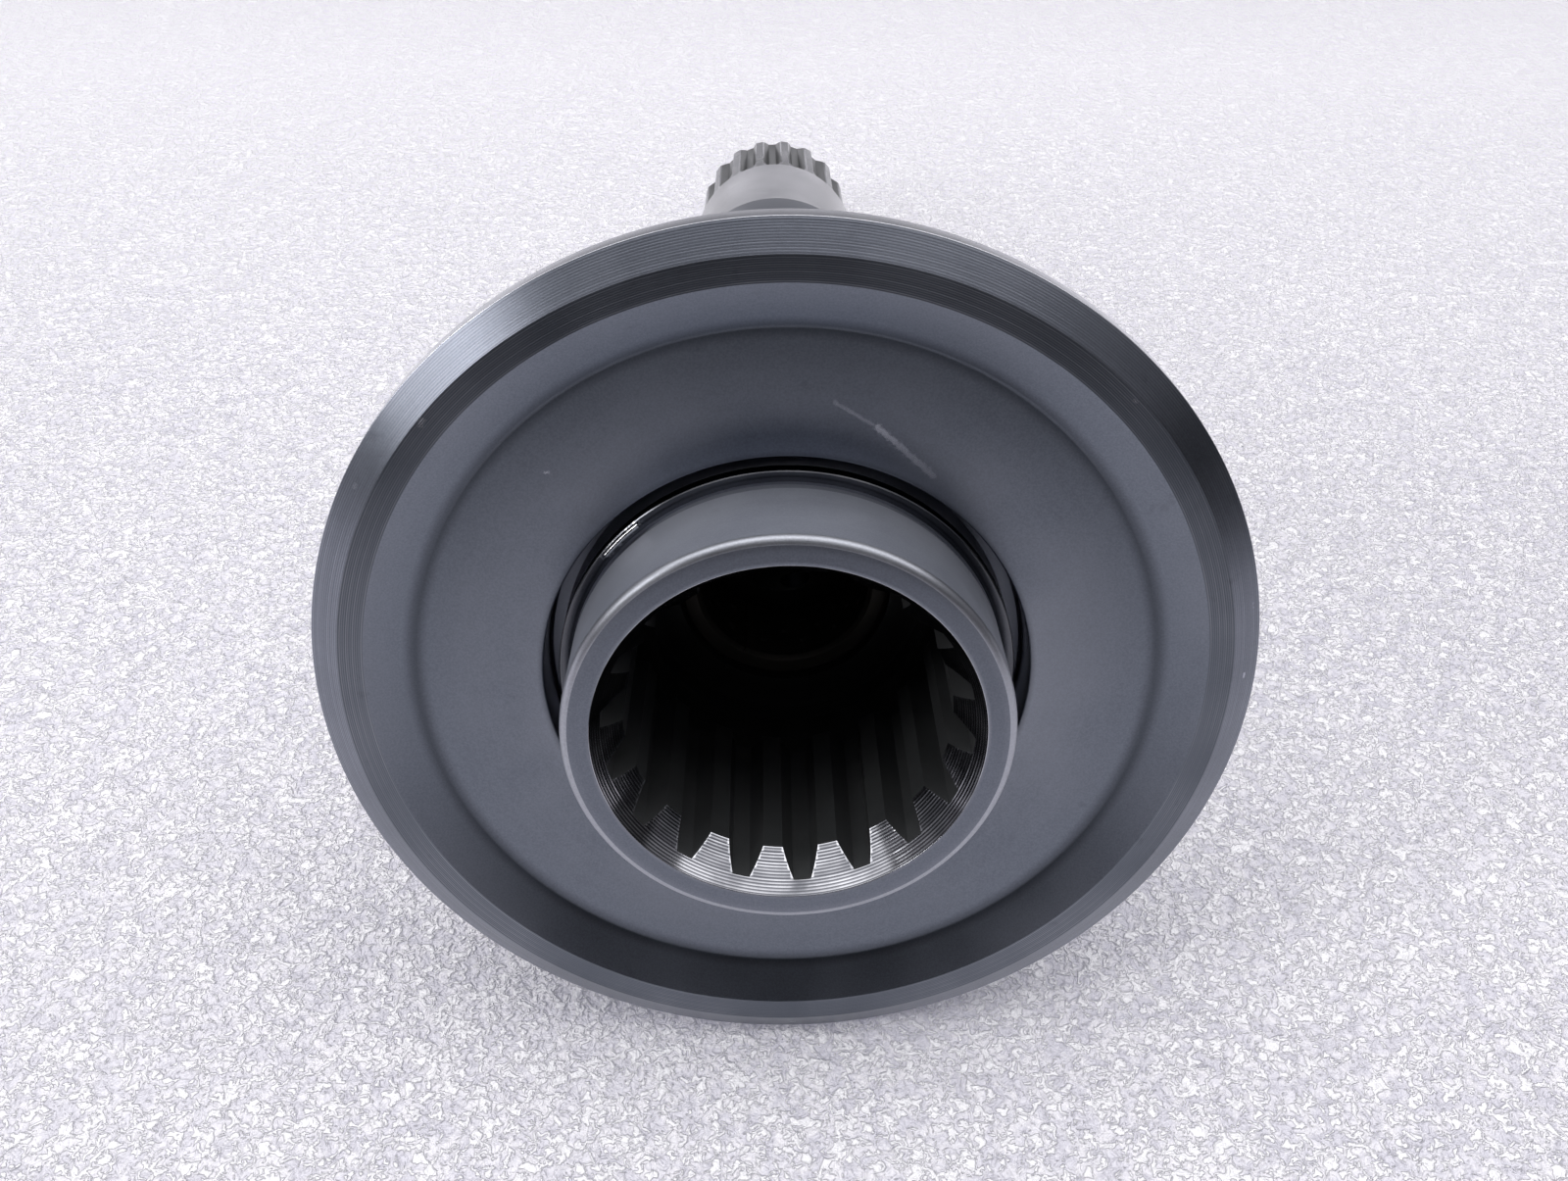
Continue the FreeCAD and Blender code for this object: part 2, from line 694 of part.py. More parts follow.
def makeCirclip():
    """The circlip that holds the flange on its seat, with two lugs for pliers."""
    body = newBody("flange_circlip")
    inner = clipGrooveRadius + size("clipSlack")
    outer = inner + size("clipWidth")
    thickness = size("clipThickness")
    lugReach = outer + size("clipTaper")
    lugX = lugReach * cosine(size("clipLugAngle"))
    lugY = lugReach * sine(size("clipLugAngle"))
    ring = newSketch(body, "RingProfile", "XZ_Plane", bossRear)
    drawCircle(ring, outer + size("clipTaper"), -size("clipTaper"), None)
    drawCircle(ring, inner)
    padSketch(body, "Ring", ring, thickness)
    lugs = newSketch(body, "LugProfile", "XZ_Plane", bossRear)
    drawCircle(lugs, size("clipLugRadius"), lugX, lugY)
    drawCircle(lugs, size("clipLugRadius"), lugX, -lugY)
    padSketch(body, "Lugs", lugs, thickness)
    gap = newSketch(body, "GapProfile", "XZ_Plane", bossRear)
    halfGap = size("clipGap") / 2
    drawBox(gap, None, lugReach + size("clipLugRadius") + size("cutOverrun"), -halfGap, halfGap)
    pocketSketch(body, "Gap", gap, thickness)
    holes = newSketch(body, "LugHoleProfile", "XZ_Plane", bossRear)
    drawCircle(holes, size("clipHoleRadius"), lugX, lugY)
    drawCircle(holes, size("clipHoleRadius"), lugX, -lugY)
    pocketSketch(body, "LugHoles", holes, thickness)
    return body


def makePilotBushing():
    """The bushing behind the hub's spline, which carries the nose of the next shaft."""
    body = newBody("pilot_bushing")
    inner = size("pilotRadius")
    outer = pilotSeatRadius
    chamfer = size("pilotChamfer")
    revolveOutline(body, "Turning", [
        (inner + chamfer, pilotFront),
        (outer - chamfer, pilotFront),
        (outer, pilotFront + chamfer),
        (outer, pilotRear - chamfer),
        (outer - chamfer, pilotRear),
        (inner + chamfer, pilotRear),
        (inner, pilotRear - chamfer),
        (inner, pilotFront + chamfer),
    ])
    return body


def makeDividerPlug():
    """The cup plug that parts the hub's oil from the gallery, open towards the hub."""
    body = newBody("divider_plug")
    wall = size("plugWall")
    outer = size("plugRadius")
    revolveOutline(body, "Turning", [
        (None, plugRear - wall),
        (outer - wall, plugRear - wall),
        (outer - wall, plugFront),
        (outer, plugFront),
        (outer, plugRear - wall),
        (outer - wall, plugRear),
        (None, plugRear),
    ])
    return body


def makeSealRing(label, station, turn):
    """A split sealing ring with a stepped joint, loose in its groove."""
    body = newBody(label)
    half = size("sealGrooveWidth") / 2 - size("sealSideSlack")
    inner = sealGrooveRadius + size("sealRootSlack")
    outer = sealJournalRadius + size("sealProud")
    revolveOutline(body, "Turning", [
        (inner, station - half), (outer, station - half), (outer, station + half), (inner, station + half)])
    length = size("sealJointLength")
    gap = size("sealJointGap")
    slit = size("sealJointSlit")
    inside = inner - size("cutOverrun")
    outside = outer + size("cutOverrun")
    frontCut = newSketch(body, "FrontCutProfile", "XZ_Plane", station - half)
    drawBox(frontCut, inside, outside, None, gap)
    pocketSketch(body, "FrontCut", frontCut, half)
    rearCut = newSketch(body, "RearCutProfile", "XZ_Plane", station)
    drawBox(rearCut, inside, outside, length, length + gap)
    pocketSketch(body, "RearCut", rearCut, half)
    stepCut = newSketch(body, "StepCutProfile", "XZ_Plane", station)
    drawBox(stepCut, inside, outside, None, length + gap)
    pocketSketch(body, "StepCut", stepCut, slit, bothWays=True)
    turnBody(body, turn)
    return body


def makeNoseSealRing():
    """The round seal in the groove of the nose."""
    body = newBody("nose_seal_ring")
    section = size("noseSealSection")
    sketch = newSketch(body, "SectionProfile", "XY_Plane")
    drawCircle(sketch, section, noseSealRadius + section, noseSealStation)
    turnSketch(body, "Revolution", "Ring", sketch)
    return body


def makeCheckBallCapsule():
    """The capsule pressed into the nose: a chamber for the ball, its seat, and a slotted lip."""
    body = newBody("check_ball_capsule")
    outer = size("capsuleRadius")
    orifice = size("capsuleOrifice")
    chamber = size("capsuleChamber")
    lip = size("capsuleLip")
    lipRear = capsuleFront + size("capsuleLipWidth")
    seatRearStation = noseRear - size("capsuleSeatSetback")
    revolveOutline(body, "Turning", [
        (lip, capsuleFront),
        (outer, capsuleFront),
        (outer, noseRear),
        (orifice, noseRear),
        (orifice, seatRearStation),
        (chamber, seatRearStation - (chamber - orifice)),
        (chamber, lipRear),
        (lip, lipRear),
    ])
    slot = newSketch(body, "SlotProfile", "XZ_Plane", capsuleFront)
    halfSlot = size("capsuleSlotWidth") / 2
    drawBox(slot, None, chamber, -halfSlot, halfSlot)
    cut = pocketSketch(body, "Slot", slot, size("capsuleLipWidth"))
    repeatAround(body, "Slots", [cut], "crossHoleCount")
    return body


def makeCheckBall():
    """The ball, resting against the capsule's lip."""
    ball = doc.addObject("Part::Sphere", "check_ball")
    ball.Label = "check_ball"
    ball.setExpression("Radius", size("ballRadius").text)
    lipRear = capsuleFront + size("capsuleLipWidth")
    chord = rootOf(size("ballRadius") * size("ballRadius") - size("capsuleLip") * size("capsuleLip"))
    centre = lipRear + chord + size("ballSlack")
    ball.Placement = FreeCAD.Placement(FreeCAD.Vector(0, centre.value, 0), FreeCAD.Rotation())
    ball.setExpression("Placement.Base.y", centre.text)
    return ball


def makePieces():
    pieces = [
        makeStemShaft(),
        makeFlangeDisc(),
        makeHubSleeve(),
        makeThrustRing(),
        makeCirclip(),
        makePilotBushing(),
        makeDividerPlug(),
        makeNoseSealRing(),
        makeCheckBallCapsule(),
        makeCheckBall(),
    ]
    for place, (name, station) in enumerate(zip(sealNames, sealStations)):
        pieces.append(makeSealRing("seal_ring_" + name, station, size("sealStagger") * place))
    return pieces


def checkDocument(pieces):
    for item in doc.Objects:
        if "Invalid" in item.State or "Error" in item.State:
            raise RuntimeError("%s failed: %s" % (item.Label, item.State))
    for piece in pieces:
        if piece.Shape.isNull() or not piece.Shape.isValid() or len(piece.Shape.Solids) != 1:
            raise RuntimeError("%s is not one sound solid" % piece.Label)


def writePieces(pieces):
    os.makedirs("parts", exist_ok=True)
    for piece in pieces:
        piece.Shape.exportStep("parts/%s.step" % piece.Label)
        print("%s %.1f mm3" % (piece.Label, piece.Shape.Volume))


allPieces = makePieces()
doc.recompute()
checkDocument(allPieces)
writePieces(allPieces)
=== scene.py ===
import math
import random
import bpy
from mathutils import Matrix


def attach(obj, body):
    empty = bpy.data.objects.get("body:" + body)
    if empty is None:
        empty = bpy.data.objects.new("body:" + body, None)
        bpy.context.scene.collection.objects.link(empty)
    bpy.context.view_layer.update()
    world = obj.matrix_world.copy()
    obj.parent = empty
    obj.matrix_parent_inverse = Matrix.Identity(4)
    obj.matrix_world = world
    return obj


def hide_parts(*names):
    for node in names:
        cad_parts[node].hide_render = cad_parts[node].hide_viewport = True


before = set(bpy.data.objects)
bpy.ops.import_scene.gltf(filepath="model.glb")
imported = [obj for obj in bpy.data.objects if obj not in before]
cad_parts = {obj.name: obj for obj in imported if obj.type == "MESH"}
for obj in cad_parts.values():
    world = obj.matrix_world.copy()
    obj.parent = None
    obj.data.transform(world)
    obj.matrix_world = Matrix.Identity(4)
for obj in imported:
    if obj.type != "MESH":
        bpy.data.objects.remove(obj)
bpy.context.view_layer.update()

from types import SimpleNamespace

import bmesh
import bpy
from mathutils import Matrix, Vector

scene = bpy.context.scene
mm = 0.001
random.seed(11)

# The shaft's axis is Y, the hub faces -Y. Outlines are (radius, station) in millimetres.

# one ridge: its foot, crest and trough as shares of the pitch, and how much they wander
ridge = {"foot": 0.2, "crest": 0.5, "trough": 0.8, "wander": 0.04, "lowest": 0.5}
wearAngle = 28


def toolLines(start, end, count, depth):
    # fine ridges between two corners of an outline, as a lathe tool leaves them
    start, end = Vector(start[:2]), Vector(end[:2])
    normal = Vector((-(end - start).y, (end - start).x)).normalized()
    points = []
    for number in range(count):
        swell = depth * random.uniform(ridge["lowest"], 1.0)
        for phase, height in (("foot", 0.0), ("crest", swell), ("trough", -swell)):
            share = (number + ridge[phase] + random.uniform(-ridge["wander"], ridge["wander"])) / count
            points.append(tuple(start.lerp(end, share) + normal * height))
    return points


def drawOutline(bm, corners, closed=True):
    # a corner is (radius, station) or (radius, station, round, segments)
    verts = [bm.verts.new((corner[0] * mm, corner[1] * mm, 0)) for corner in corners]
    for place in range(len(verts) if closed else len(verts) - 1):
        bm.edges.new((verts[place], verts[(place + 1) % len(verts)]))
    for corner in corners:
        if len(corner) > 2:
            spot = Vector((corner[0] * mm, corner[1] * mm, 0))
            vert = min(bm.verts, key=lambda item: (item.co - spot).length)
            arms = [edge.other_vert(vert).co - vert.co for edge in vert.link_edges]
            reach = corner[2] * mm / math.tan(arms[0].angle(arms[1]) / 2)
            reach = min(reach, 0.49 * min(arm.length for arm in arms))
            bmesh.ops.bevel(bm, geom=[vert], offset=reach, offset_type="OFFSET", segments=corner[3],
                            profile=0.5, affect="VERTICES", material=-1)


def turnMesh(bm, steps, sectors=8):
    # one sector is spun and then repeated round the axis, which is much faster than one long spin
    bmesh.ops.spin(bm, geom=bm.verts[:] + bm.edges[:], cent=(0, 0, 0), axis=(0, 1, 0),
                   angle=math.tau / sectors, steps=steps // sectors)
    bmesh.ops.spin(bm, geom=bm.verts[:] + bm.edges[:] + bm.faces[:], cent=(0, 0, 0), axis=(0, 1, 0),
                   angle=math.tau * (sectors - 1) / sectors, steps=sectors - 1, use_duplicate=True)
    bmesh.ops.remove_doubles(bm, verts=bm.verts[:], dist=1e-7)
    bmesh.ops.dissolve_degenerate(bm, edges=bm.edges[:], dist=1e-8)
    bmesh.ops.recalc_face_normals(bm, faces=bm.faces[:])


def turnedPiece(corners, steps, closed=True):
    bm = bmesh.new()
    drawOutline(bm, corners, closed)
    turnMesh(bm, steps)
    return bm


def markWear(mesh):
    # 0 on flat metal, up to 1 on outward edges, for the materials to brighten
    bm = bmesh.new()
    bm.from_mesh(mesh)
    layer = bm.verts.layers.float.new("wear")
    for vert in bm.verts:
        sharpest = max((edge.calc_face_angle_signed(0.0) for edge in vert.link_edges), default=0.0)
        vert[layer] = min(1.0, max(0.0, sharpest / math.radians(wearAngle)))
    bm.to_mesh(mesh)
    bm.free()


def paintZone(mesh, index, stations, radii=(0.0, 99.0)):
    # faces whose middle lies between two stations and two radii take another of the piece's materials
    for face in mesh.polygons:
        radius = math.hypot(face.center.x, face.center.z) / mm
        station = face.center.y / mm
        if stations[0] < station < stations[1] and radii[0] < radius < radii[1]:
            face.material_index = index


def finishPiece(name, mesh, body, node, looks, zones=(), sharpAngle=32):
    mesh.name = name
    markWear(mesh)
    mesh.shade_smooth()
    mesh.set_sharp_from_angle(angle=math.radians(sharpAngle))
    mesh.materials.clear()
    for look in looks:
        mesh.materials.append(finishes[look])
    for zone in zones:
        paintZone(mesh, *zone)
    piece = bpy.data.objects.new(name, mesh)
    scene.collection.objects.link(piece)
    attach(piece, body)
    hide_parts(node)
    return piece


def meshOf(bm, name):
    mesh = bpy.data.meshes.new(name)
    bm.to_mesh(mesh)
    bm.free()
    return mesh


def combineMesh(mesh, tools, operation="DIFFERENCE"):
    # take the tools out of a mesh, or join them to it, one after the other
    holder = bpy.data.objects.new("work", mesh)
    scene.collection.objects.link(holder)
    helpers = []
    for place, tool in enumerate(tools):
        helper = bpy.data.objects.new("tool%d" % place, tool)
        scene.collection.objects.link(helper)
        helpers.append(helper)
        boolean = holder.modifiers.new("step%d" % place, "BOOLEAN")
        boolean.operation = operation
        boolean.solver = "EXACT"
        boolean.object = helper
    bpy.context.view_layer.update()
    depsgraph = bpy.context.evaluated_depsgraph_get()
    result = bpy.data.meshes.new_from_object(holder.evaluated_get(depsgraph))
    for thing in [holder] + helpers:
        bpy.data.objects.remove(thing)
    return result


def boxMesh(low, high, turn=0.0):
    # a block between two corners in millimetres, turned about the shaft's axis
    bm = bmesh.new()
    bmesh.ops.create_cube(bm, size=1.0)
    low, high = Vector(low) * mm, Vector(high) * mm
    bmesh.ops.scale(bm, vec=high - low, verts=bm.verts[:])
    bmesh.ops.translate(bm, vec=(low + high) / 2, verts=bm.verts[:])
    bmesh.ops.rotate(bm, verts=bm.verts[:], cent=(0, 0, 0),
                     matrix=Matrix.Rotation(math.radians(turn), 3, "Y"))
    return meshOf(bm, "block")


def rodMesh(radius, stations, centre=(0.0, 0.0), segments=64):
    # a round rod along the shaft's axis between two stations
    bm = bmesh.new()
    depth = (stations[1] - stations[0]) * mm
    place = Matrix.Translation((centre[0] * mm, (stations[0] + stations[1]) / 2 * mm, centre[1] * mm))
    bmesh.ops.create_cone(bm, cap_ends=True, segments=segments, radius1=radius * mm, radius2=radius * mm,
                          depth=depth, matrix=place @ Matrix.Rotation(math.radians(90), 4, "X"))
    return meshOf(bm, "rod")


def softenEdges(mesh, width, angle=40.0, segments=2):
    # break the sharp edges of a finished mesh
    bm = bmesh.new()
    bm.from_mesh(mesh)
    bmesh.ops.remove_doubles(bm, verts=bm.verts[:], dist=1e-7)
    bmesh.ops.dissolve_limit(bm, angle_limit=math.radians(1), verts=bm.verts[:], edges=bm.edges[:])
    sharp = [edge for edge in bm.edges if edge.is_manifold and edge.calc_face_angle() > math.radians(angle)]
    bmesh.ops.bevel(bm, geom=sharp, offset=width * mm, offset_type="OFFSET", segments=segments, profile=0.5,
                    affect="EDGES", material=-1, clamp_overlap=True)
    bmesh.ops.recalc_face_normals(bm, faces=bm.faces[:])
    bm.to_mesh(mesh)
    bm.free()
    return mesh


def newMaterial(name):
    material = bpy.data.materials.new(name)
    material.use_nodes = True
    return material, material.node_tree, material.node_tree.nodes["Principled BSDF"]


def addNode(tree, kind, **values):
    node = tree.nodes.new(kind)
    for key, value in values.items():
        setattr(node, key, value)
    return node


def feed(tree, value, socket):
    # a socket takes a number, a colour or another node's output
    if isinstance(value, (int, float)):
        socket.default_value = value
    elif isinstance(value, tuple):
        socket.default_value = (*value, 1)
    else:
        tree.links.new(value, socket)


def mathNode(tree, operation, *values):
    node = addNode(tree, "ShaderNodeMath", operation=operation)
    for socket, value in zip(node.inputs, values):
        feed(tree, value, socket)
    return node.outputs[0]


def times(tree, first, second):
    return mathNode(tree, "MULTIPLY", first, second)


def vectorNode(tree, operation, *values):
    node = addNode(tree, "ShaderNodeVectorMath", operation=operation)
    for socket, value in zip(node.inputs, values):
        feed(tree, value, socket)
    return node.outputs["Value" if operation in ("DOT_PRODUCT", "LENGTH") else "Vector"]


def scaleVector(tree, vector, factor):
    node = addNode(tree, "ShaderNodeVectorMath", operation="SCALE")
    feed(tree, vector, node.inputs[0])
    feed(tree, factor, node.inputs["Scale"])
    return node.outputs[0]


def splitVector(tree, vector):
    node = addNode(tree, "ShaderNodeSeparateXYZ")
    feed(tree, vector, node.inputs[0])
    return node.outputs


def objectPlace(tree):
    return addNode(tree, "ShaderNodeTexCoord").outputs["Object"]


def ramp(tree, value, low, high, fromTo=(0.0, 1.0)):
    node = addNode(tree, "ShaderNodeMapRange", clamp=True)
    for socket, item in zip(node.inputs, (value, low, high, *fromTo)):
        feed(tree, item, socket)
    return node.outputs["Result"]


def mixColour(tree, factor, first, second):
    node = addNode(tree, "ShaderNodeMix", data_type="RGBA")
    for place, value in ((0, factor), (6, first), (7, second)):
        feed(tree, value, node.inputs[place])
    return node.outputs[2]


def noise(tree, vector, scale, detail=2.0, roughness=0.5, distortion=0.0, dimensions="3D"):
    node = addNode(tree, "ShaderNodeTexNoise", noise_dimensions=dimensions)
    feed(tree, vector, node.inputs["W" if dimensions == "1D" else "Vector"])
    settings = {"Scale": scale, "Detail": detail, "Roughness": roughness, "Distortion": distortion}
    for label, value in settings.items():
        feed(tree, value, node.inputs[label])
    return node.outputs["Fac"]


def addBump(tree, height, distance, shader):
    bump = addNode(tree, "ShaderNodeBump")
    bump.inputs["Distance"].default_value = distance
    feed(tree, height, bump.inputs["Height"])
    feed(tree, bump.outputs["Normal"], shader.inputs["Normal"])


def newGroup(name, inputs, outputs):
    # inputs are (label, value), outputs are labels of numbers
    tree = bpy.data.node_groups.new(name, "ShaderNodeTree")
    for label, value in inputs:
        kind = "NodeSocketVector" if isinstance(value, tuple) else "NodeSocketFloat"
        tree.interface.new_socket(label, in_out="INPUT", socket_type=kind).default_value = value
    for label in outputs:
        tree.interface.new_socket(label, in_out="OUTPUT", socket_type="NodeSocketFloat")
    return tree, tree.nodes.new("NodeGroupInput").outputs, tree.nodes.new("NodeGroupOutput").inputs


def placeGroup(tree, group, **values):
    node = addNode(tree, "ShaderNodeGroup", node_tree=group)
    for key, value in values.items():
        node.inputs[key].default_value = value
    return node.outputs


markNoise = {
    "slant": 0.73, "detail": 3.0, "roughness": 0.65, "broadScale": 0.11, "patchScale": 45.0,
    "patchRange": (0.3, 0.7), "faintest": 0.45, "fineShare": 0.4,
}


def buildToolMarks():
    # rings left by the lathe: they follow the radius on faces and the station on cylinders
    m = SimpleNamespace(**markNoise)
    tree, given, out = newGroup("toolMarks", [("pitch", 0.2)], ["height", "shade"])
    place = objectPlace(tree)
    parts = splitVector(tree, place)
    flat = addNode(tree, "ShaderNodeCombineXYZ")
    feed(tree, parts["X"], flat.inputs["X"])
    feed(tree, parts["Z"], flat.inputs["Y"])
    radius = vectorNode(tree, "LENGTH", flat.outputs[0])
    across = mathNode(tree, "ADD", radius, times(tree, parts["Y"], m.slant))
    steps = mathNode(tree, "DIVIDE", times(tree, across, 1 / mm), given["pitch"])
    fine = noise(tree, steps, 1.0, m.detail, m.roughness, dimensions="1D")
    broad = noise(tree, steps, m.broadScale, dimensions="1D")
    patches = noise(tree, place, m.patchScale)
    strength = ramp(tree, patches, *m.patchRange, (m.faintest, 1.0))
    feed(tree, times(tree, fine, strength), out["height"])
    fineShade = times(tree, fine, m.fineShare)
    broadShade = times(tree, broad, 1 - m.fineShare)
    feed(tree, mathNode(tree, "ADD", fineShade, broadShade), out["shade"])
    return tree


spotNoise = {
    "cloudDetail": 5.0, "stainScale": 260.0, "stainDetail": 3.0, "stainRange": (0.68, 0.78),
    "nickScale": 120.0, "nickEdge": (0.02, 0.035), "nickChosen": (0.86, 0.88), "grainScale": 5200.0,
    "grainDetail": 3.0, "roughness": 0.6,
}


def buildSpots():
    # handling marks: cloudy patches, small dark stains, bright nicks and a fine grain
    s = SimpleNamespace(**spotNoise)
    tree, given, out = newGroup("handlingMarks", [("cloudSize", 60.0)], ["cloud", "stain", "nick", "grain"])
    place = objectPlace(tree)
    feed(tree, noise(tree, place, given["cloudSize"], s.cloudDetail), out["cloud"])
    stains = noise(tree, place, s.stainScale, s.stainDetail, s.roughness)
    feed(tree, ramp(tree, stains, *s.stainRange), out["stain"])
    cells = addNode(tree, "ShaderNodeTexVoronoi", feature="F1")
    cells.inputs["Scale"].default_value = s.nickScale
    feed(tree, place, cells.inputs["Vector"])
    near = ramp(tree, cells.outputs["Distance"], *s.nickEdge, (1.0, 0.0))
    chosen = ramp(tree, cells.outputs["Color"], *s.nickChosen)
    feed(tree, times(tree, near, chosen), out["nick"])
    feed(tree, noise(tree, place, s.grainScale, s.grainDetail, s.roughness), out["grain"])
    return tree


def buildCornerShade():
    # painted shade that darkens a turned corner, at one radius and station in millimetres
    tree, given, out = newGroup("cornerShade", [("radius", 10.0), ("station", 0.0), ("width", 1.0)], ["mask"])
    parts = splitVector(tree, objectPlace(tree))
    squares = [times(tree, parts[axis], parts[axis]) for axis in "XZ"]
    radius = mathNode(tree, "SQRT", mathNode(tree, "ADD", *squares))
    gaps = []
    for value, label in ((radius, "radius"), (parts["Y"], "station")):
        gap = mathNode(tree, "SUBTRACT", times(tree, value, 1 / mm), given[label])
        gaps.append(times(tree, gap, gap))
    distance = mathNode(tree, "SQRT", mathNode(tree, "ADD", *gaps))
    mask = addNode(tree, "ShaderNodeMapRange", interpolation_type="SMOOTHSTEP")
    feed(tree, mathNode(tree, "DIVIDE", distance, given["width"]), mask.inputs["Value"])
    mask.inputs["To Min"].default_value = 1.0
    mask.inputs["To Max"].default_value = 0.0
    feed(tree, mask.outputs["Result"], out["mask"])
    return tree


scratchEdge = {
    "scale": 2600.0, "roughness": 0.6, "range": (0.35, 0.65), "widths": (0.55, 1.25), "fade": (0.2, 0.6),
}


def buildScratch():
    # a scratch or nick between two points in millimetres, ragged along its edges
    e = SimpleNamespace(**scratchEdge)
    given = [("start", (0.0, 0.0, 0.0)), ("end", (1.0, 0.0, 0.0)), ("width", 0.3)]
    tree, given, out = newGroup("scratch", given, ["mask"])
    place = objectPlace(tree)
    along = vectorNode(tree, "SUBTRACT", given["end"], given["start"])
    offset = vectorNode(tree, "SUBTRACT", scaleVector(tree, place, 1 / mm), given["start"])
    reach = vectorNode(tree, "DOT_PRODUCT", along, along)
    share = mathNode(tree, "DIVIDE", vectorNode(tree, "DOT_PRODUCT", offset, along), reach)
    nearest = scaleVector(tree, along, ramp(tree, share, 0.0, 1.0))
    gap = vectorNode(tree, "LENGTH", vectorNode(tree, "SUBTRACT", offset, nearest))
    ragged = ramp(tree, noise(tree, place, e.scale, roughness=e.roughness), *e.range, e.widths)
    width = times(tree, given["width"], ragged)
    feed(tree, ramp(tree, mathNode(tree, "DIVIDE", gap, width), *e.fade, (1.0, 0.0)), out["mask"])
    return tree


toolMarks = buildToolMarks()
scratch = buildScratch()
cornerShade = buildCornerShade()
handlingMarks = buildSpots()

# how far each effect lightens or darkens the base colour, and over which part of its noise
metalTone = {
    "cloudRange": (0.35, 0.65), "markRange": (0.35, 0.65), "markLift": 1.35, "grainRange": (0.35, 0.65),
    "grainLift": 1.5, "stainTone": 0.45, "dirtTone": 0.3, "rubRange": (0.3, 0.6), "roughRange": (0.3, 0.7),
    "roughSpan": 0.05, "wornSmoothing": 0.4, "tangentTurn": 0.25,
}


def buildMetal(name, look):
    t = SimpleNamespace(**metalTone)
    material, tree, shader = newMaterial(name)
    marks = placeGroup(tree, toolMarks, pitch=look["markPitch"])
    spots = placeGroup(tree, handlingMarks, cloudSize=look["cloudSize"])
    wear = addNode(tree, "ShaderNodeAttribute", attribute_name="wear").outputs["Fac"]
    base = look["colour"]
    factors = (look["darkShare"], t.markLift, t.grainLift, t.stainTone, t.dirtTone)
    tones = [tuple(channel * factor for channel in base) for factor in factors]
    dark, markTone, grainTone, stainTone, dirtTone = tones
    colour = mixColour(tree, ramp(tree, spots["cloud"], *t.cloudRange), dark, base)
    markMix = ramp(tree, marks["shade"], *t.markRange, (0.0, look["markShade"]))
    colour = mixColour(tree, markMix, colour, markTone)
    speckle = ramp(tree, spots["grain"], *t.grainRange, (0.0, look["speckle"]))
    colour = mixColour(tree, speckle, colour, grainTone)
    colour = mixColour(tree, times(tree, spots["stain"], look["stain"]), colour, stainTone)
    rub = times(tree, ramp(tree, spots["cloud"], *t.rubRange), look["wear"])
    worn = times(tree, wear, rub)
    worn = mathNode(tree, "MAXIMUM", worn, times(tree, spots["nick"], look["nicks"]))
    for start, end, width, strength in look["scratches"]:
        mask = placeGroup(tree, scratch, start=start, end=end, width=width)["mask"]
        worn = mathNode(tree, "MAXIMUM", worn, times(tree, mask, strength))
    colour = mixColour(tree, worn, colour, look["wornColour"])
    # painted shade: each listed corner darkens the colour towards the corner shade tone
    for radius, station, width, strength in look["corners"]:
        mask = placeGroup(tree, cornerShade, radius=radius, station=station, width=width)["mask"]
        colour = mixColour(tree, times(tree, mask, strength), colour, dirtTone)
    feed(tree, colour, shader.inputs["Base Color"])
    shader.inputs["Metallic"].default_value = look["metallic"]
    mean = look["roughness"]
    rough = ramp(tree, spots["cloud"], *t.roughRange, (mean - t.roughSpan, mean + t.roughSpan))
    smooth = times(tree, worn, mean * t.wornSmoothing)
    feed(tree, mathNode(tree, "SUBTRACT", rough, smooth), shader.inputs["Roughness"])
    height = times(tree, marks["height"], look["markDepth"])
    grain = times(tree, spots["grain"], look["grainDepth"])
    addBump(tree, mathNode(tree, "ADD", height, grain), mm, shader)
    if look["anisotropy"]:
        shader.inputs["Anisotropic"].default_value = look["anisotropy"]
        tangent = addNode(tree, "ShaderNodeTangent", direction_type="RADIAL", axis="Y")
        feed(tree, tangent.outputs[0], shader.inputs["Tangent"])
        shader.inputs["Anisotropic Rotation"].default_value = t.tangentTurn
    return material


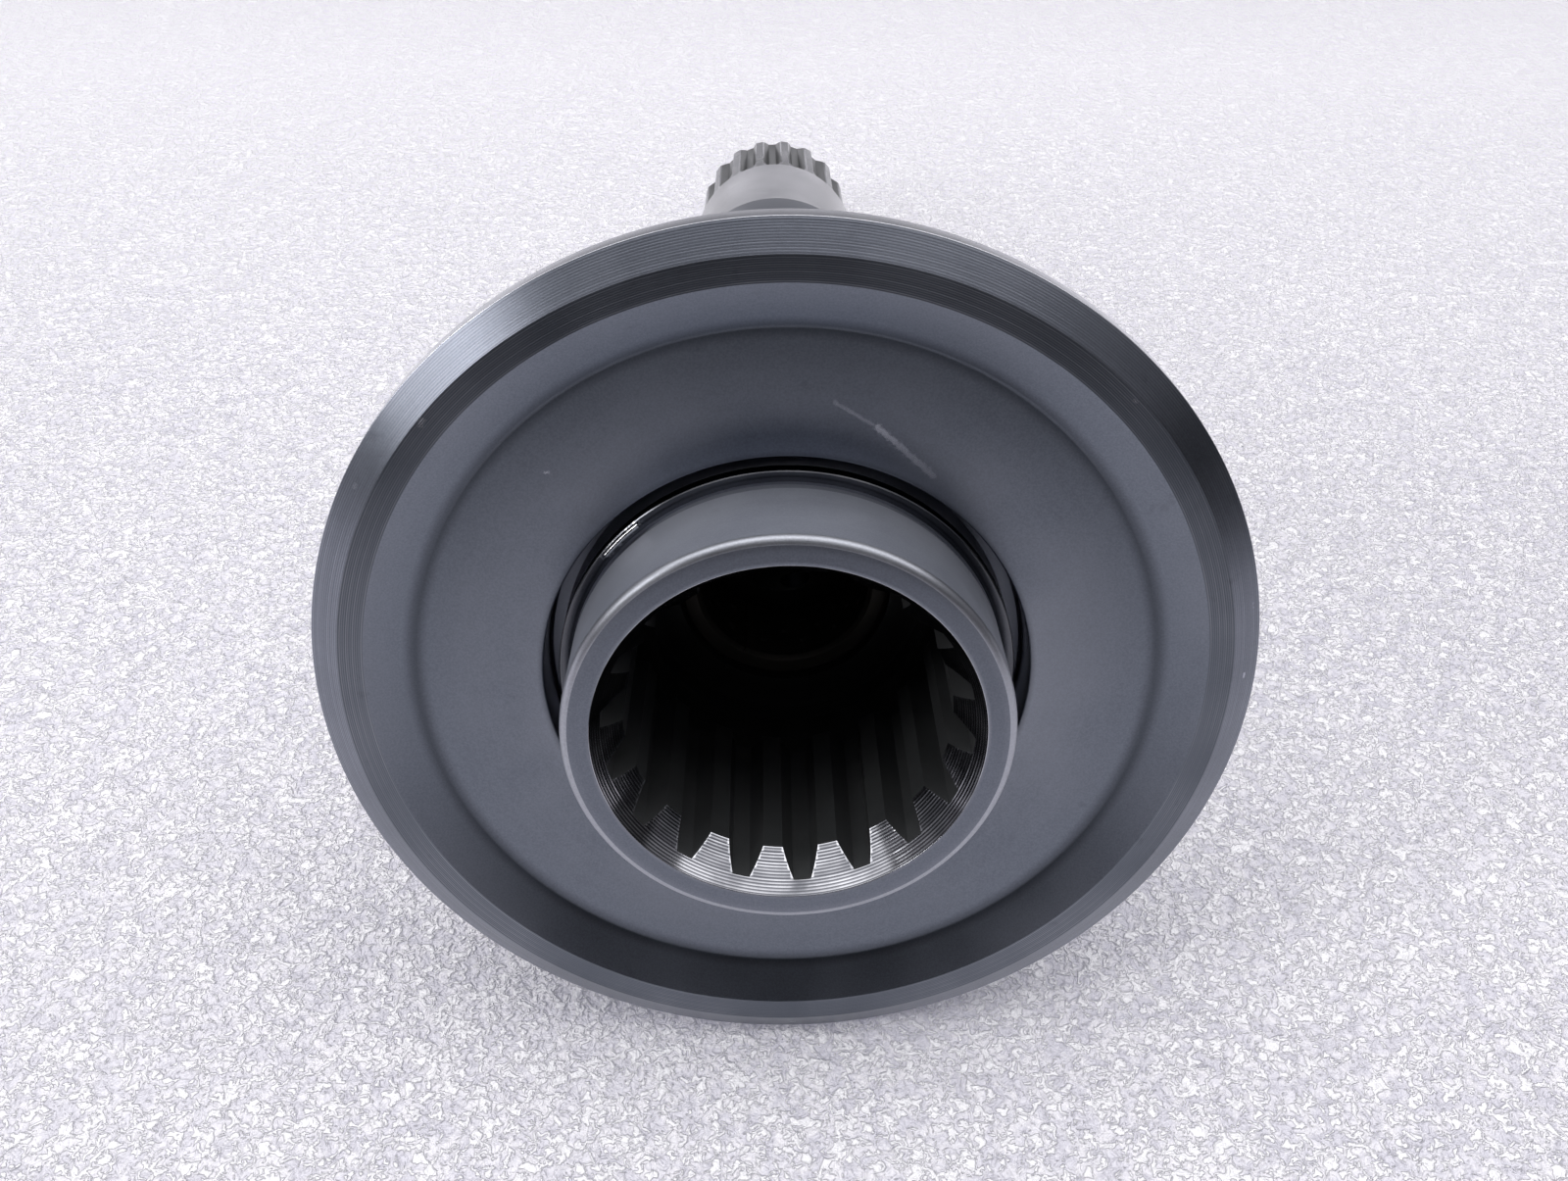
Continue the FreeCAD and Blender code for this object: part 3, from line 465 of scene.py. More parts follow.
# what the steels have in common; each one below names only what differs
commonLook = {
    "darkShare": 0.85, "metallic": 1.0, "roughness": 0.34, "markPitch": 0.2, "markDepth": 0.002,
    "markShade": 0.2, "grainDepth": 0.0012, "cloudSize": 70.0, "stain": 0.3, "wear": 0.3, "nicks": 0.5,
    "anisotropy": 0.0, "speckle": 0.2, "corners": (), "scratches": (),
}
# corners are rings of painted shade, each (radius, station, width, strength), the first three in millimetres
steelLooks = {
    "phosphatedSteel": {
        "colour": (0.146, 0.157, 0.188), "wornColour": (0.36, 0.37, 0.4), "darkShare": 0.88, "roughness": 0.4,
        "markPitch": 0.16, "markDepth": 0.004, "markShade": 0.3, "stain": 0.35, "wear": 0.4, "nicks": 0.8,
        "anisotropy": 0.45,
        # painted shade in the stem's turned corners
        "corners": (
            (23.0, 1.0, 1.6, 0.8), (22.5, 63.0, 0.9, 0.6), (17.5, 80.0, 2.6, 0.6), (15.5, 133.5, 0.9, 0.7),
            (10.0, 188.0, 1.0, 0.7),
        ),
    },
    "hubSteel": {
        "colour": (0.235, 0.25, 0.3), "wornColour": (0.55, 0.56, 0.62), "darkShare": 0.9, "metallic": 0.5,
        "roughness": 0.4, "markDepth": 0.004, "markShade": 0.3, "wear": 0.6, "nicks": 0.6, "anisotropy": 0.35,
        "speckle": 0.3,
        # painted shade at the hub's foot
        "corners": ((23.0, 0.6, 1.2, 0.6),),
    },
    "hubEdgeSteel": {
        "colour": (0.36, 0.37, 0.41), "wornColour": (0.46, 0.47, 0.52), "roughness": 0.4, "markPitch": 0.18,
        "cloudSize": 60.0, "wear": 0.2, "anisotropy": 0.75, "speckle": 0.3,
    },
    "coneSteel": {
        "colour": (0.05, 0.052, 0.06), "wornColour": (0.42, 0.42, 0.45), "roughness": 0.18,
        "markPitch": 0.3, "markDepth": 0.0, "markShade": 0.1, "grainDepth": 0.0005, "cloudSize": 150.0,
        "stain": 0.4, "wear": 2.2, "anisotropy": 0.4,
    },
    "hubFaceSteel": {
        "colour": (0.142, 0.154, 0.184), "wornColour": (0.34, 0.35, 0.39), "darkShare": 0.92,
        "roughness": 0.33, "markPitch": 0.18, "markShade": 0.15, "grainDepth": 0.0016, "wear": 0.8,
        "nicks": 0.6, "anisotropy": 0.3, "speckle": 0.4,
    },
    "bevelSteel": {
        "colour": (0.122, 0.132, 0.158), "wornColour": (0.34, 0.35, 0.4), "darkShare": 0.9, "markPitch": 0.14,
        "markShade": 0.15, "cloudSize": 55.0, "stain": 0.4, "wear": 1.1, "nicks": 0.8, "anisotropy": 0.35,
        "speckle": 0.4,
        "scratches": (
            ((-42.8, -0.9, 23.1), (-42.6, -0.9, 23.4), 0.5, 1.0),
            ((0.9, -0.87, -48.6), (1.3, -0.87, -48.6), 0.4, 1.0),
            ((48.4, -0.6, 9.3), (48.3, -0.6, 9.8), 0.4, 1.0),
            ((48.5, -0.97, 1.5), (48.5, -0.97, 1.1), 0.4, 1.0),
        ),
    },
    "landSteel": {
        "colour": (0.42, 0.425, 0.47), "wornColour": (0.7, 0.7, 0.73), "roughness": 0.3, "markPitch": 0.1,
        "markDepth": 0.0015, "markShade": 0.25, "grainDepth": 0.0008, "cloudSize": 60.0, "wear": 1.2,
        "anisotropy": 0.3,
    },
    # the spline teeth: darker than the journal, as painted shade for the gaps between them
    "splineSteelPaintedShade": {
        "colour": (0.08, 0.083, 0.095), "wornColour": (0.36, 0.36, 0.39), "roughness": 0.26,
        "markPitch": 0.12, "markDepth": 0.0015, "grainDepth": 0.001, "wear": 0.6,
    },
    "flangeSteel": {
        "colour": (0.134, 0.147, 0.176), "wornColour": (0.38, 0.39, 0.43), "darkShare": 0.92,
        "markPitch": 0.14, "markShade": 0.12, "grainDepth": 0.0016, "cloudSize": 55.0, "stain": 0.35,
        "wear": 0.7, "nicks": 0.8, "anisotropy": 0.4, "speckle": 0.45,
        # painted shade at the cove's foot, in the boss fillet behind the web and at the well's edge
        "corners": ((39.4, 0.3, 1.5, 0.6), (31.0, 6.5, 2.4, 0.6), (25.9, 0.3, 0.8, 0.5)),
        "scratches": (
            ((4.3, 0.3, 31.7), (8.6, 0.3, 29.1), 0.6, 0.4), ((8.6, 0.3, 29.1), (14.3, 0.3, 23.9), 1.0, 0.7),
            ((20.1, 0.3, -16.8), (20.5, 0.3, -16.6), 0.6, 1.0),
            ((-24.1, 0.3, 24.2), (-23.8, 0.3, 24.2), 0.4, 0.7),
        ),
    },
    "stopFaceSteel": {
        "colour": (0.105, 0.115, 0.136), "wornColour": (0.38, 0.39, 0.43), "darkShare": 0.9,
        "roughness": 0.35, "markPitch": 0.3, "markDepth": 0.004, "markShade": 0.35, "cloudSize": 55.0,
        "stain": 0.45, "wear": 0.9, "nicks": 0.8, "anisotropy": 0.4,
        "scratches": (
            ((-35.3, -1.9, 30.2), (-35.0, -1.9, 30.7), 0.6, 1.0),
            ((32.8, -1.9, 32.8), (33.0, -1.9, 32.7), 0.4, 1.0),
        ),
    },
    "groundSteel": {
        "colour": (0.06, 0.063, 0.074), "wornColour": (0.7, 0.7, 0.72), "roughness": 0.2, "markPitch": 0.08,
        "markDepth": 0.0015, "markShade": 0.3, "grainDepth": 0.0004, "cloudSize": 90.0, "stain": 0.2,
        "wear": 0.1, "nicks": 0.3, "anisotropy": 0.4,
        # a burr mark painted bright on the ring's front: partly a worn mark, partly a painted highlight
        "scratches": (((-18.5, 0.1, 14.8), (-15.3, 0.1, 18.4), 1.4, 1.0),),
    },
    "groundJournal": {
        "colour": (0.13, 0.133, 0.152), "wornColour": (0.36, 0.36, 0.39), "roughness": 0.17,
        "markPitch": 0.07, "markDepth": 0.0012, "markShade": 0.25, "grainDepth": 0.0005, "cloudSize": 60.0,
        "stain": 0.25, "wear": 0.4, "anisotropy": 0.3,
    },
    # the darker steel of the bore and the spline gap floors: partly oil, partly painted shade; its corners
    # paint more shade deep in the bore
    "boreOilAndPaintedShade": {
        "colour": (0.056, 0.059, 0.061), "wornColour": (0.1, 0.1, 0.105), "darkShare": 0.7, "metallic": 0.4,
        "roughness": 0.36, "grainDepth": 0.001, "cloudSize": 80.0, "nicks": 0.0,
        "corners": ((17.5, 17.0, 6.0, 0.8), (14.5, 20.0, 6.0, 0.8)),
    },
    "springSteel": {
        "colour": (0.07, 0.072, 0.08), "wornColour": (0.3, 0.3, 0.32), "darkShare": 0.8, "roughness": 0.38,
        "markPitch": 0.3, "markDepth": 0.001, "grainDepth": 0.0015, "cloudSize": 90.0, "wear": 0.6,
        "nicks": 0.4,
    },
    "bushingLining": {
        "colour": (0.06, 0.055, 0.05), "wornColour": (0.09, 0.07, 0.045), "darkShare": 0.75, "metallic": 0.4,
        "roughness": 0.5, "markPitch": 0.12, "markShade": 0.3, "grainDepth": 0.002, "cloudSize": 110.0,
        "stain": 0.4, "wear": 0.5, "nicks": 0.1,
    },
    "drawnSteel": {
        "colour": (0.42, 0.42, 0.43), "wornColour": (0.6, 0.6, 0.6), "darkShare": 0.75, "roughness": 0.3,
        "markDepth": 0.001, "grainDepth": 0.001, "cloudSize": 120.0, "wear": 0.4, "nicks": 0.2,
    },
    "ballSteel": {
        "colour": (0.62, 0.62, 0.64), "wornColour": (0.7, 0.7, 0.72), "darkShare": 0.92, "roughness": 0.12,
        "markPitch": 0.4, "markDepth": 0.0002, "markShade": 0.1, "grainDepth": 0.0002, "cloudSize": 200.0,
        "stain": 0.1, "wear": 0.0, "nicks": 0.2,
    },
    "ringIron": {
        "colour": (0.2, 0.2, 0.205), "wornColour": (0.42, 0.42, 0.43), "darkShare": 0.75, "roughness": 0.36,
        "markPitch": 0.1, "markShade": 0.4, "grainDepth": 0.0015, "cloudSize": 120.0, "stain": 0.4,
        "wear": 0.6, "nicks": 0.3,
    },
}
finishes = {name: buildMetal(name, {**commonLook, **look}) for name, look in steelLooks.items()}


rubber = {
    "colour": (0.018, 0.018, 0.019), "bloom": (0.06, 0.06, 0.065), "roughness": 0.55, "cloudSize": 160.0,
    "dustRange": (0.4, 0.75), "relief": 0.01,
}


def buildRubber():
    material, tree, shader = newMaterial("nitrile")
    spots = placeGroup(tree, handlingMarks, cloudSize=rubber["cloudSize"])
    dust = ramp(tree, spots["cloud"], *rubber["dustRange"])
    feed(tree, mixColour(tree, dust, rubber["colour"], rubber["bloom"]), shader.inputs["Base Color"])
    shader.inputs["Roughness"].default_value = rubber["roughness"]
    addBump(tree, spots["grain"], rubber["relief"] * mm, shader)
    return material


finishes["nitrile"] = buildRubber()
print("finishes:", len(finishes))


flange = {
    "rim": 50.0, "land": 2.2, "bevelWidth": 3.06, "bevelDepth": 1.9, "stopInner": 44.28, "coveFoot": 39.4,
    "webFace": 0.3, "webRear": 6.5, "webRearRadius": 43.0, "rearChamfer": 2.6, "seat": 25.9, "boss": 31.0,
    "bossRear": 14.5, "bossChamfer": 1.0, "bossFillet": 3.0, "steps": 480,
    "bevelLines": 13, "bevelLineDepth": 0.01, "stopLines": 12, "stopLineDepth": 0.008,
}


def makeFlange():
    f = SimpleNamespace(**flange)
    stopFace = -f.bevelDepth
    corners = [
        (f.seat, f.webFace, 0.25, 4),
        (f.coveFoot, f.webFace, 1.0, 8),
        (f.stopInner, stopFace, 0.12, 3),
        (f.rim - f.bevelWidth, stopFace, 0.06, 2),
        (f.rim, 0.0, 0.2, 4),
        (f.rim, f.land, 0.15, 3),
        (f.rim - f.rearChamfer, f.land + f.rearChamfer, 0.2, 3),
        (f.webRearRadius, f.webRear, 0.5, 4),
        (f.boss, f.webRear, f.bossFillet, 10),
        (f.boss, f.bossRear - f.bossChamfer, 0.15, 3),
        (f.boss - f.bossChamfer, f.bossRear, 0.15, 3),
        (f.seat, f.bossRear, 0.1, 2),
    ]
    bevelLines = toolLines(corners[3], corners[4], f.bevelLines, f.bevelLineDepth)
    stopLines = toolLines(corners[2], corners[3], f.stopLines, f.stopLineDepth)
    corners = corners[:3] + stopLines + corners[3:4] + bevelLines + corners[4:]
    bm = turnedPiece(corners, f.steps)
    return finishPiece("flange", meshOf(bm, "flange"), "shaft", "flange_disc",
                       ["flangeSteel", "stopFaceSteel", "landSteel", "bevelSteel"],
                       [(1, (stopFace - 0.1, stopFace + 0.1), (f.stopInner, f.rim - f.bevelWidth)),
                        (3, (stopFace, 0.1), (f.rim - f.bevelWidth, 99.0)),
                        (2, (-0.05, f.land), (f.rim - 0.12, 99.0))])


# both splines: the pressure angle in degrees, and the gap's depth as a share of the module
splineForm = {"pressureAngle": 30, "depthShare": 1.1}


def splineGap(tip, root, reference, module, teeth, onHub, overrun, curvePoints=7):
    # half outline of one gap, from the root to beyond the tip circle, in millimetres
    pressure = math.radians(splineForm["pressureAngle"])
    pitchRadius = module * teeth / 2
    shift = (reference - module * teeth - splineForm["depthShare"] * module) / 2
    widening = 2 * shift * math.tan(pressure)
    width = (module * math.pi / 2 + widening) / 2 if onHub else (module * math.pi / 2 - widening) / 2
    half = width / pitchRadius
    baseRadius = pitchRadius * math.cos(pressure)
    flankRadius = pitchRadius * math.sin(pressure)
    centreAngle = half - pressure if onHub else half + pressure
    points = []
    for step in range(curvePoints):
        radius = root + (tip - root) * step / (curvePoints - 1)
        swing = math.acos((radius ** 2 + baseRadius ** 2 - flankRadius ** 2) / (2 * radius * baseRadius))
        angle = centreAngle + (swing if onHub else -swing)
        points.append((radius, angle))
    # the opening goes on straight past the tip circle
    (r0, a0), (r1, a1) = points[-2:]
    points.append((r1 + math.copysign(overrun, r1 - r0), a1 + (a1 - a0) * overrun / abs(r1 - r0)))
    return points


def gapCutters(name, half, teeth, index, sections, rootPoints=3):
    # sections are (station, radial shift): one gap prism through them, repeated round the axis
    bm = bmesh.new()
    rootRadius, rootAngle = half[0]
    outline = [(radius, -angle) for radius, angle in reversed(half)]
    outline += [(rootRadius, rootAngle * (2 * step / rootPoints - 1)) for step in range(1, rootPoints)]
    outline += half
    loops = []
    for station, shift in sections:
        spots = [(radius * math.cos(angle) + shift, station, radius * math.sin(angle))
                 for radius, angle in outline]
        ring = [bm.verts.new([length * mm for length in spot]) for spot in spots]
        loops.append([bm.edges.new((ring[i - 1], ring[i])) for i in range(len(ring))])
        if station in (sections[0][0], sections[-1][0]):
            bm.faces.new(ring)
    for first, second in zip(loops, loops[1:]):
        bmesh.ops.bridge_loops(bm, edges=first + second)
    bmesh.ops.rotate(bm, verts=bm.verts[:], cent=(0, 0, 0),
                     matrix=Matrix.Rotation(math.radians(index), 3, "Y"))
    bmesh.ops.recalc_face_normals(bm, faces=bm.faces[:])
    pitch = math.tau / teeth
    bmesh.ops.spin(bm, geom=bm.verts[:] + bm.edges[:] + bm.faces[:], cent=(0, 0, 0), axis=(0, 1, 0),
                   angle=pitch * (teeth - 1), steps=teeth - 1, use_duplicate=True)
    return meshOf(bm, name)


hub = {
    "outer": 23.0, "front": -11.3, "edgeRound": 1.35, "mouth": 20.0, "coneAngle": 33.0, "tip": 17.0,
    "root": 19.0, "splineEnd": 14.0, "reliefEnd": 17.0, "relief": 19.4, "lip": 16.5, "spigot": 22.0,
    "spigotEnd": 20.0, "collar": 24.3, "collarFront": 2.0, "collarRear": 6.0, "ringFoot": 1.0,
    "undercutFront": -0.6, "undercut": 0.35, "module": 2.0, "reference": 38.0, "teeth": 18, "index": -15.0,
    "steps": 360, "coneLines": 15, "coneLineDepth": 0.012, "faceShare": 0.75,
}


def makeHub():
    h = SimpleNamespace(**hub)
    coneDepth = (h.mouth - h.tip) / math.tan(math.radians(h.coneAngle))
    corners = [
        (h.mouth, h.front, 0.1, 2),
        (h.tip, h.front + coneDepth, 0.08, 2),
        (h.tip, h.splineEnd),
        (h.relief, h.splineEnd),
        (h.relief, h.reliefEnd),
        (h.lip, h.reliefEnd),
        (h.lip, h.spigotEnd),
        (h.spigot - 0.5, h.spigotEnd),
        (h.spigot, h.spigotEnd - 0.5),
        (h.spigot, h.collarRear),
        (h.collar, h.collarRear),
        (h.collar, h.collarFront),
        (h.outer, h.collarFront),
        (h.outer, h.ringFoot),
        (h.outer - h.undercut, h.ringFoot),
        (h.outer - h.undercut, h.undercutFront + h.undercut),
        (h.outer, h.undercutFront, 0.1, 2),
        (h.outer, h.front, h.edgeRound, 8),
        (h.outer - h.edgeRound - 0.3, h.front),
        (h.mouth + 0.4, h.front),
    ]
    corners[1:1] = toolLines(corners[0], corners[1], h.coneLines, -h.coneLineDepth)
    bm = turnedPiece(corners, h.steps)
    half = splineGap(h.tip, h.root, h.reference, h.module, h.teeth, True, 1.0)
    cutter = gapCutters("hubGaps", half, h.teeth, h.index, [(h.front - 1, 0), (h.splineEnd + 1, 0)])
    mesh = combineMesh(meshOf(bm, "hub"), [cutter])
    coneRear = h.front + coneDepth
    faceEdge = h.outer - h.faceShare * h.edgeRound
    return finishPiece("hub", mesh, "shaft", "hub_sleeve",
                       ["hubSteel", "boreOilAndPaintedShade", "coneSteel", "hubFaceSteel", "hubEdgeSteel"],
                       # the bore past the cone takes the darker bore steel with its painted shade
                       [(1, (coneRear, h.spigotEnd), (0.0, h.relief + 0.2)),
                        (3, (h.front - 0.1, h.front + 0.05), (h.mouth, faceEdge)),
                        (4, (h.front - 0.1, h.front + h.edgeRound), (faceEdge, 99.0)),
                        (2, (h.front, coneRear), (0.0, h.mouth + 0.05))])


thrustRing = {
    "inner": 23.0, "outer": 24.3, "innerFront": 0.8, "front": 0.6, "rear": 2.0, "innerEdge": 0.1,
    "edge": 0.25, "burr": {"radius": 23.85, "station": 0.35, "section": 0.3, "from": -51.0, "to": -39.5},
}


def makeThrustRing():
    t = SimpleNamespace(**thrustRing)
    burr = t.burr
    corners = [
        (t.inner, t.innerFront, t.innerEdge, 3),
        (t.outer, t.front, t.edge, 3),
        (t.outer, t.rear),
        (t.inner, t.rear),
    ]
    bm = turnedPiece(corners, 360)
    # a burr thrown up along the ring's front
    rib = bmesh.new()
    place = Matrix.Rotation(math.radians(burr["from"] - 90), 4, "Y") @ Matrix.Translation(
        (burr["radius"] * mm, burr["station"] * mm, 0))
    bmesh.ops.create_circle(rib, cap_ends=True, segments=12, radius=burr["section"] * mm, matrix=place)
    bmesh.ops.spin(rib, geom=rib.verts[:] + rib.edges[:] + rib.faces[:], cent=(0, 0, 0), axis=(0, 1, 0),
                   angle=math.radians(burr["to"] - burr["from"]), steps=24)
    bmesh.ops.recalc_face_normals(rib, faces=rib.faces[:])
    ribMesh = meshOf(rib, "burr")
    bm.from_mesh(ribMesh)
    return finishPiece("thrustRing", meshOf(bm, "thrustRing"), "shaft", "hub_thrust_ring",
                       ["groundSteel"])


stem = {
    "spigot": 22.0, "headFront": 6.0, "seat": 25.9, "seatRear": 18.0, "sealJournal": 24.0,
    "sealLandRear": 63.0, "bearingJournal": 22.5, "bearingJournalRear": 80.0, "barrel": 17.5,
    "barrelRear": 118.0, "shoulder": 16.5, "shoulderFront": 121.0, "shoulderRear": 133.5, "journal": 15.5,
    "journalRear": 162.0, "splineTip": 14.85, "splineRoot": 13.35, "splineRear": 188.0,
    "splineChamfer": 3.5, "nose": 10.0, "noseRear": 203.0, "capsule": 6.0, "capsuleFront": 195.0,
    "gallery": 4.5, "plug": 6.0, "plugRear": 47.0, "plugFront": 40.0, "chamber": 8.0, "chamberFront": 34.0,
    "pilotSeat": 12.5, "spigotEnd": 20.0, "clipGroove": (24.7, 14.5, 16.35),
    "sealGrooves": (29.0, 44.0, 59.0), "sealGroove": (21.6, 2.4), "noseGroove": (8.6, 198.4, 2.4),
    "holeRows": (36.5, 51.5), "holeRadius": 2.0, "holes": 4, "drillMiddle": 16.0, "drillLength": 22.0,
    "module": 1.5, "reference": 30.0, "teeth": 18, "index": -12.0, "fullDepth": 167.5, "runOut": 4.5,
    "steps": 320,
}


def grooveCorners(outer, floor, front, rear, edge=0.12):
    return [(outer, front, edge, 2), (floor, front, 0.1, 2), (floor, rear, 0.1, 2), (outer, rear, edge, 2)]


def makeStem():
    s = SimpleNamespace(**stem)
    clipFloor, clipFront, clipRear = s.clipGroove
    sealFloor, sealWidth = s.sealGroove
    noseFloor, noseStation, noseWidth = s.noseGroove
    step = s.journal - s.splineTip
    corners = [
        (s.spigot, s.headFront),
        (s.seat - 0.4, s.headFront, 0.1, 2),
        (s.seat, s.headFront + 0.4, 0.1, 2),
    ]
    corners += grooveCorners(s.seat, clipFloor, clipFront, clipRear)
    corners += [
        (s.seat, s.seatRear, 0.15, 3),
        (s.sealJournal, s.seatRear + s.seat - s.sealJournal, 0.3, 3),
    ]
    for station in s.sealGrooves:
        corners += grooveCorners(s.sealJournal, sealFloor, station - sealWidth / 2, station + sealWidth / 2)
    corners += [
        (s.sealJournal, s.sealLandRear - 0.5, 0.1, 2),
        (s.sealJournal - 0.5, s.sealLandRear, 0.1, 2),
        (s.bearingJournal, s.sealLandRear, 0.3, 4),
        (s.bearingJournal, s.bearingJournalRear - 1, 0.15, 3),
        (s.bearingJournal - 1, s.bearingJournalRear, 0.15, 3),
        (s.barrel, s.bearingJournalRear, 2.0, 10),
        (s.barrel, s.barrelRear, 0.4, 3),
        (s.shoulder, s.shoulderFront, 0.4, 3),
        (s.shoulder, s.shoulderRear - 0.4, 0.1, 2),
        (s.shoulder - 0.4, s.shoulderRear, 0.1, 2),
        (s.journal, s.shoulderRear, 0.25, 4),
        (s.journal, s.journalRear, 0.15, 3),
        (s.splineTip, s.journalRear + step, 0.1, 2),
        (s.splineTip, s.splineRear - s.splineChamfer, 0.2, 3),
        (s.splineRoot, s.splineRear, 0.15, 2),
        (s.nose, s.splineRear, 0.3, 3),
    ]
    corners += grooveCorners(s.nose, noseFloor, noseStation - noseWidth / 2, noseStation + noseWidth / 2)
    corners += [
        (s.nose, s.noseRear - 1, 0.15, 3),
        (s.nose - 1, s.noseRear, 0.15, 3),
        (s.capsule, s.noseRear, 0.1, 2),
        (s.capsule, s.capsuleFront),
        (s.gallery, s.capsuleFront),
        (s.gallery, s.plugRear),
        (s.plug, s.plugRear),
        (s.plug, s.plugFront),
        (s.chamber, s.plugFront),
        (s.chamber, s.chamberFront),
        (s.pilotSeat, s.chamberFront),
        (s.pilotSeat, s.spigotEnd),
        (s.spigot, s.spigotEnd),
    ]
    bm = turnedPiece(corners, s.steps)
    half = splineGap(s.splineTip, s.splineRoot, s.reference, s.module, s.teeth, False, 1.2)
    slope = (s.splineTip - s.splineRoot) / s.runOut
    far = s.runOut + 1.0
    gaps = gapCutters("stemGaps", half, s.teeth, s.index,
                      [(s.splineRear + 1, 0), (s.fullDepth, 0), (s.fullDepth - far, far * slope)])
    drills = bmesh.new()
    for station in s.holeRows:
        for number in range(s.holes):
            turn = Matrix.Rotation(math.tau * number / s.holes + math.radians(s.index), 4, "Y")
            middle = Matrix.Translation((s.drillMiddle * mm, station * mm, 0))
            place = turn @ middle @ Matrix.Rotation(math.radians(90), 4, "Y")
            bmesh.ops.create_cone(drills, cap_ends=True, segments=48, radius1=s.holeRadius * mm,
                                  radius2=s.holeRadius * mm, depth=s.drillLength * mm, matrix=place)
    mesh = combineMesh(meshOf(bm, "stem"), [gaps, meshOf(drills, "drills")])
    return finishPiece("stem", mesh, "shaft", "stem_shaft",
                       ["phosphatedSteel", "groundJournal", "boreOilAndPaintedShade", "splineSteelPaintedShade"], [
                           (1, (s.seatRear + 1.9, s.bearingJournalRear - 1), (s.bearingJournal - 0.1, 99.0)),
                           (1, (s.shoulderRear + 0.2, s.journalRear), (s.journal - 0.2, 99.0)),
                           # the spline teeth take the darker spline steel with its painted shade
                           (3, (s.journalRear, s.splineRear + 0.1), (s.splineRoot - 0.2, 99.0)),
                           # the spline gap floors and the bore inside take the darker bore steel with its
                           # painted shade
                           (2, (s.journalRear, s.splineRear), (s.splineRoot - 0.2, s.splineTip - 0.35)),
                           (2, (s.spigotEnd - 1, s.noseRear - 1), (0.0, s.pilotSeat + 0.1)),
                           (2, (s.spigotEnd - 0.1, s.spigotEnd + 0.1), (0.0, s.spigot)),
                       ])


makeFlange()
makeHub()
makeThrustRing()
makeStem()
print("turned pieces made")

circlip = {
    "front": 14.5, "rear": 16.25, "inner": 24.75, "outer": 28.35, "offset": -1.0, "halfGap": 5.2,
    "lugReach": 28.35, "lugAngle": 16.0, "lugRadius": 3.0, "hole": 1.25, "edge": 0.12,
}


def makeCirclip():
    c = SimpleNamespace(**circlip)
    stations = (c.front, c.rear)
    over = (c.front - 1, c.rear + 1)
    turn = math.radians(c.lugAngle)
    lugs = [(c.lugReach * math.cos(turn), side * c.lugReach * math.sin(turn)) for side in (-1, 1)]
    blank = rodMesh(c.outer, stations, (c.offset, 0.0), 256)
    blank = combineMesh(blank, [rodMesh(c.lugRadius, stations, lug, 48) for lug in lugs], "UNION")
    reach = c.lugReach + c.lugRadius + 1
    gap = boxMesh((0, over[0], -c.halfGap), (reach, over[1], c.halfGap))
    holes = [rodMesh(c.hole, over, lug, 40) for lug in lugs]
    mesh = combineMesh(blank, [rodMesh(c.inner, over, (0, 0), 256), gap] + holes)
    return finishPiece("circlip", softenEdges(mesh, c.edge), "shaft", "flange_circlip",
                       ["springSteel"])


bushing = {
    "inner": 10.0, "outer": 12.5, "front": 21.0, "rear": 33.0, "chamfer": 0.5, "seam": 0.14, "seamDepth": 0.5,
    "seamTurn": 118.0, "pockets": 14, "pocketRows": (24.6, 27.0, 29.4), "pocketRadius": 0.55,
}


def makeBushing():
    b = SimpleNamespace(**bushing)
    corners = [
        (b.inner + b.chamfer, b.front, 0.1, 2),
        (b.outer - b.chamfer, b.front, 0.1, 2),
        (b.outer, b.front + b.chamfer, 0.1, 2),
        (b.outer, b.rear - b.chamfer, 0.1, 2),
        (b.outer - b.chamfer, b.rear, 0.1, 2),
        (b.inner + b.chamfer, b.rear, 0.1, 2),
        (b.inner, b.rear - b.chamfer, 0.1, 2),
        (b.inner, b.front + b.chamfer, 0.1, 2),
    ]
    blank = meshOf(turnedPiece(corners, 256), "bushing")
    # the butt joint of the rolled strip, and the pockets that hold grease
    seam = boxMesh((b.inner - 1, b.front - 1, -b.seam / 2),
                   (b.inner + b.seamDepth, b.rear + 1, b.seam / 2), b.seamTurn)
    pockets = bmesh.new()
    for row, station in enumerate(b.pocketRows):
        for number in range(b.pockets):
            turn = Matrix.Rotation(math.tau * (number + 0.5 * (row % 2)) / b.pockets, 4, "Y")
            place = turn @ Matrix.Translation((b.inner * mm, station * mm, 0))
            bmesh.ops.create_icosphere(pockets, subdivisions=2, radius=b.pocketRadius * mm, matrix=place)
    mesh = combineMesh(blank, [seam, meshOf(pockets, "pockets")])
    return finishPiece("bushing", mesh, "shaft", "pilot_bushing", ["bushingLining"])


plug = {"outer": 6.0, "wall": 1.0, "front": 41.0, "rear": 46.0, "round": 0.7}


def makePlug():
    p = SimpleNamespace(**plug)
    inside = p.outer - p.wall
    floorFront = p.rear - p.wall
    corners = [
        (0.0, floorFront),
        (inside, floorFront, 0.5, 5),
        (inside, p.front, 0.2, 3),
        (p.outer, p.front, 0.2, 3),
        (p.outer, p.rear, p.round, 6),
        (0.0, p.rear),
    ]
    mesh = meshOf(turnedPiece(corners, 128, closed=False), "plug")
    return finishPiece("plug", mesh, "shaft", "divider_plug", ["drawnSteel"])


sealRings = {
    "rows": {"front": (29.0, 0.0), "middle": (44.0, 120.0), "rear": (59.0, 240.0)}, "inner": 22.0,
    "outer": 24.15, "half": 1.15, "edge": 0.16, "jointLength": 4.0, "jointGap": 0.3, "slit": 0.04,
}


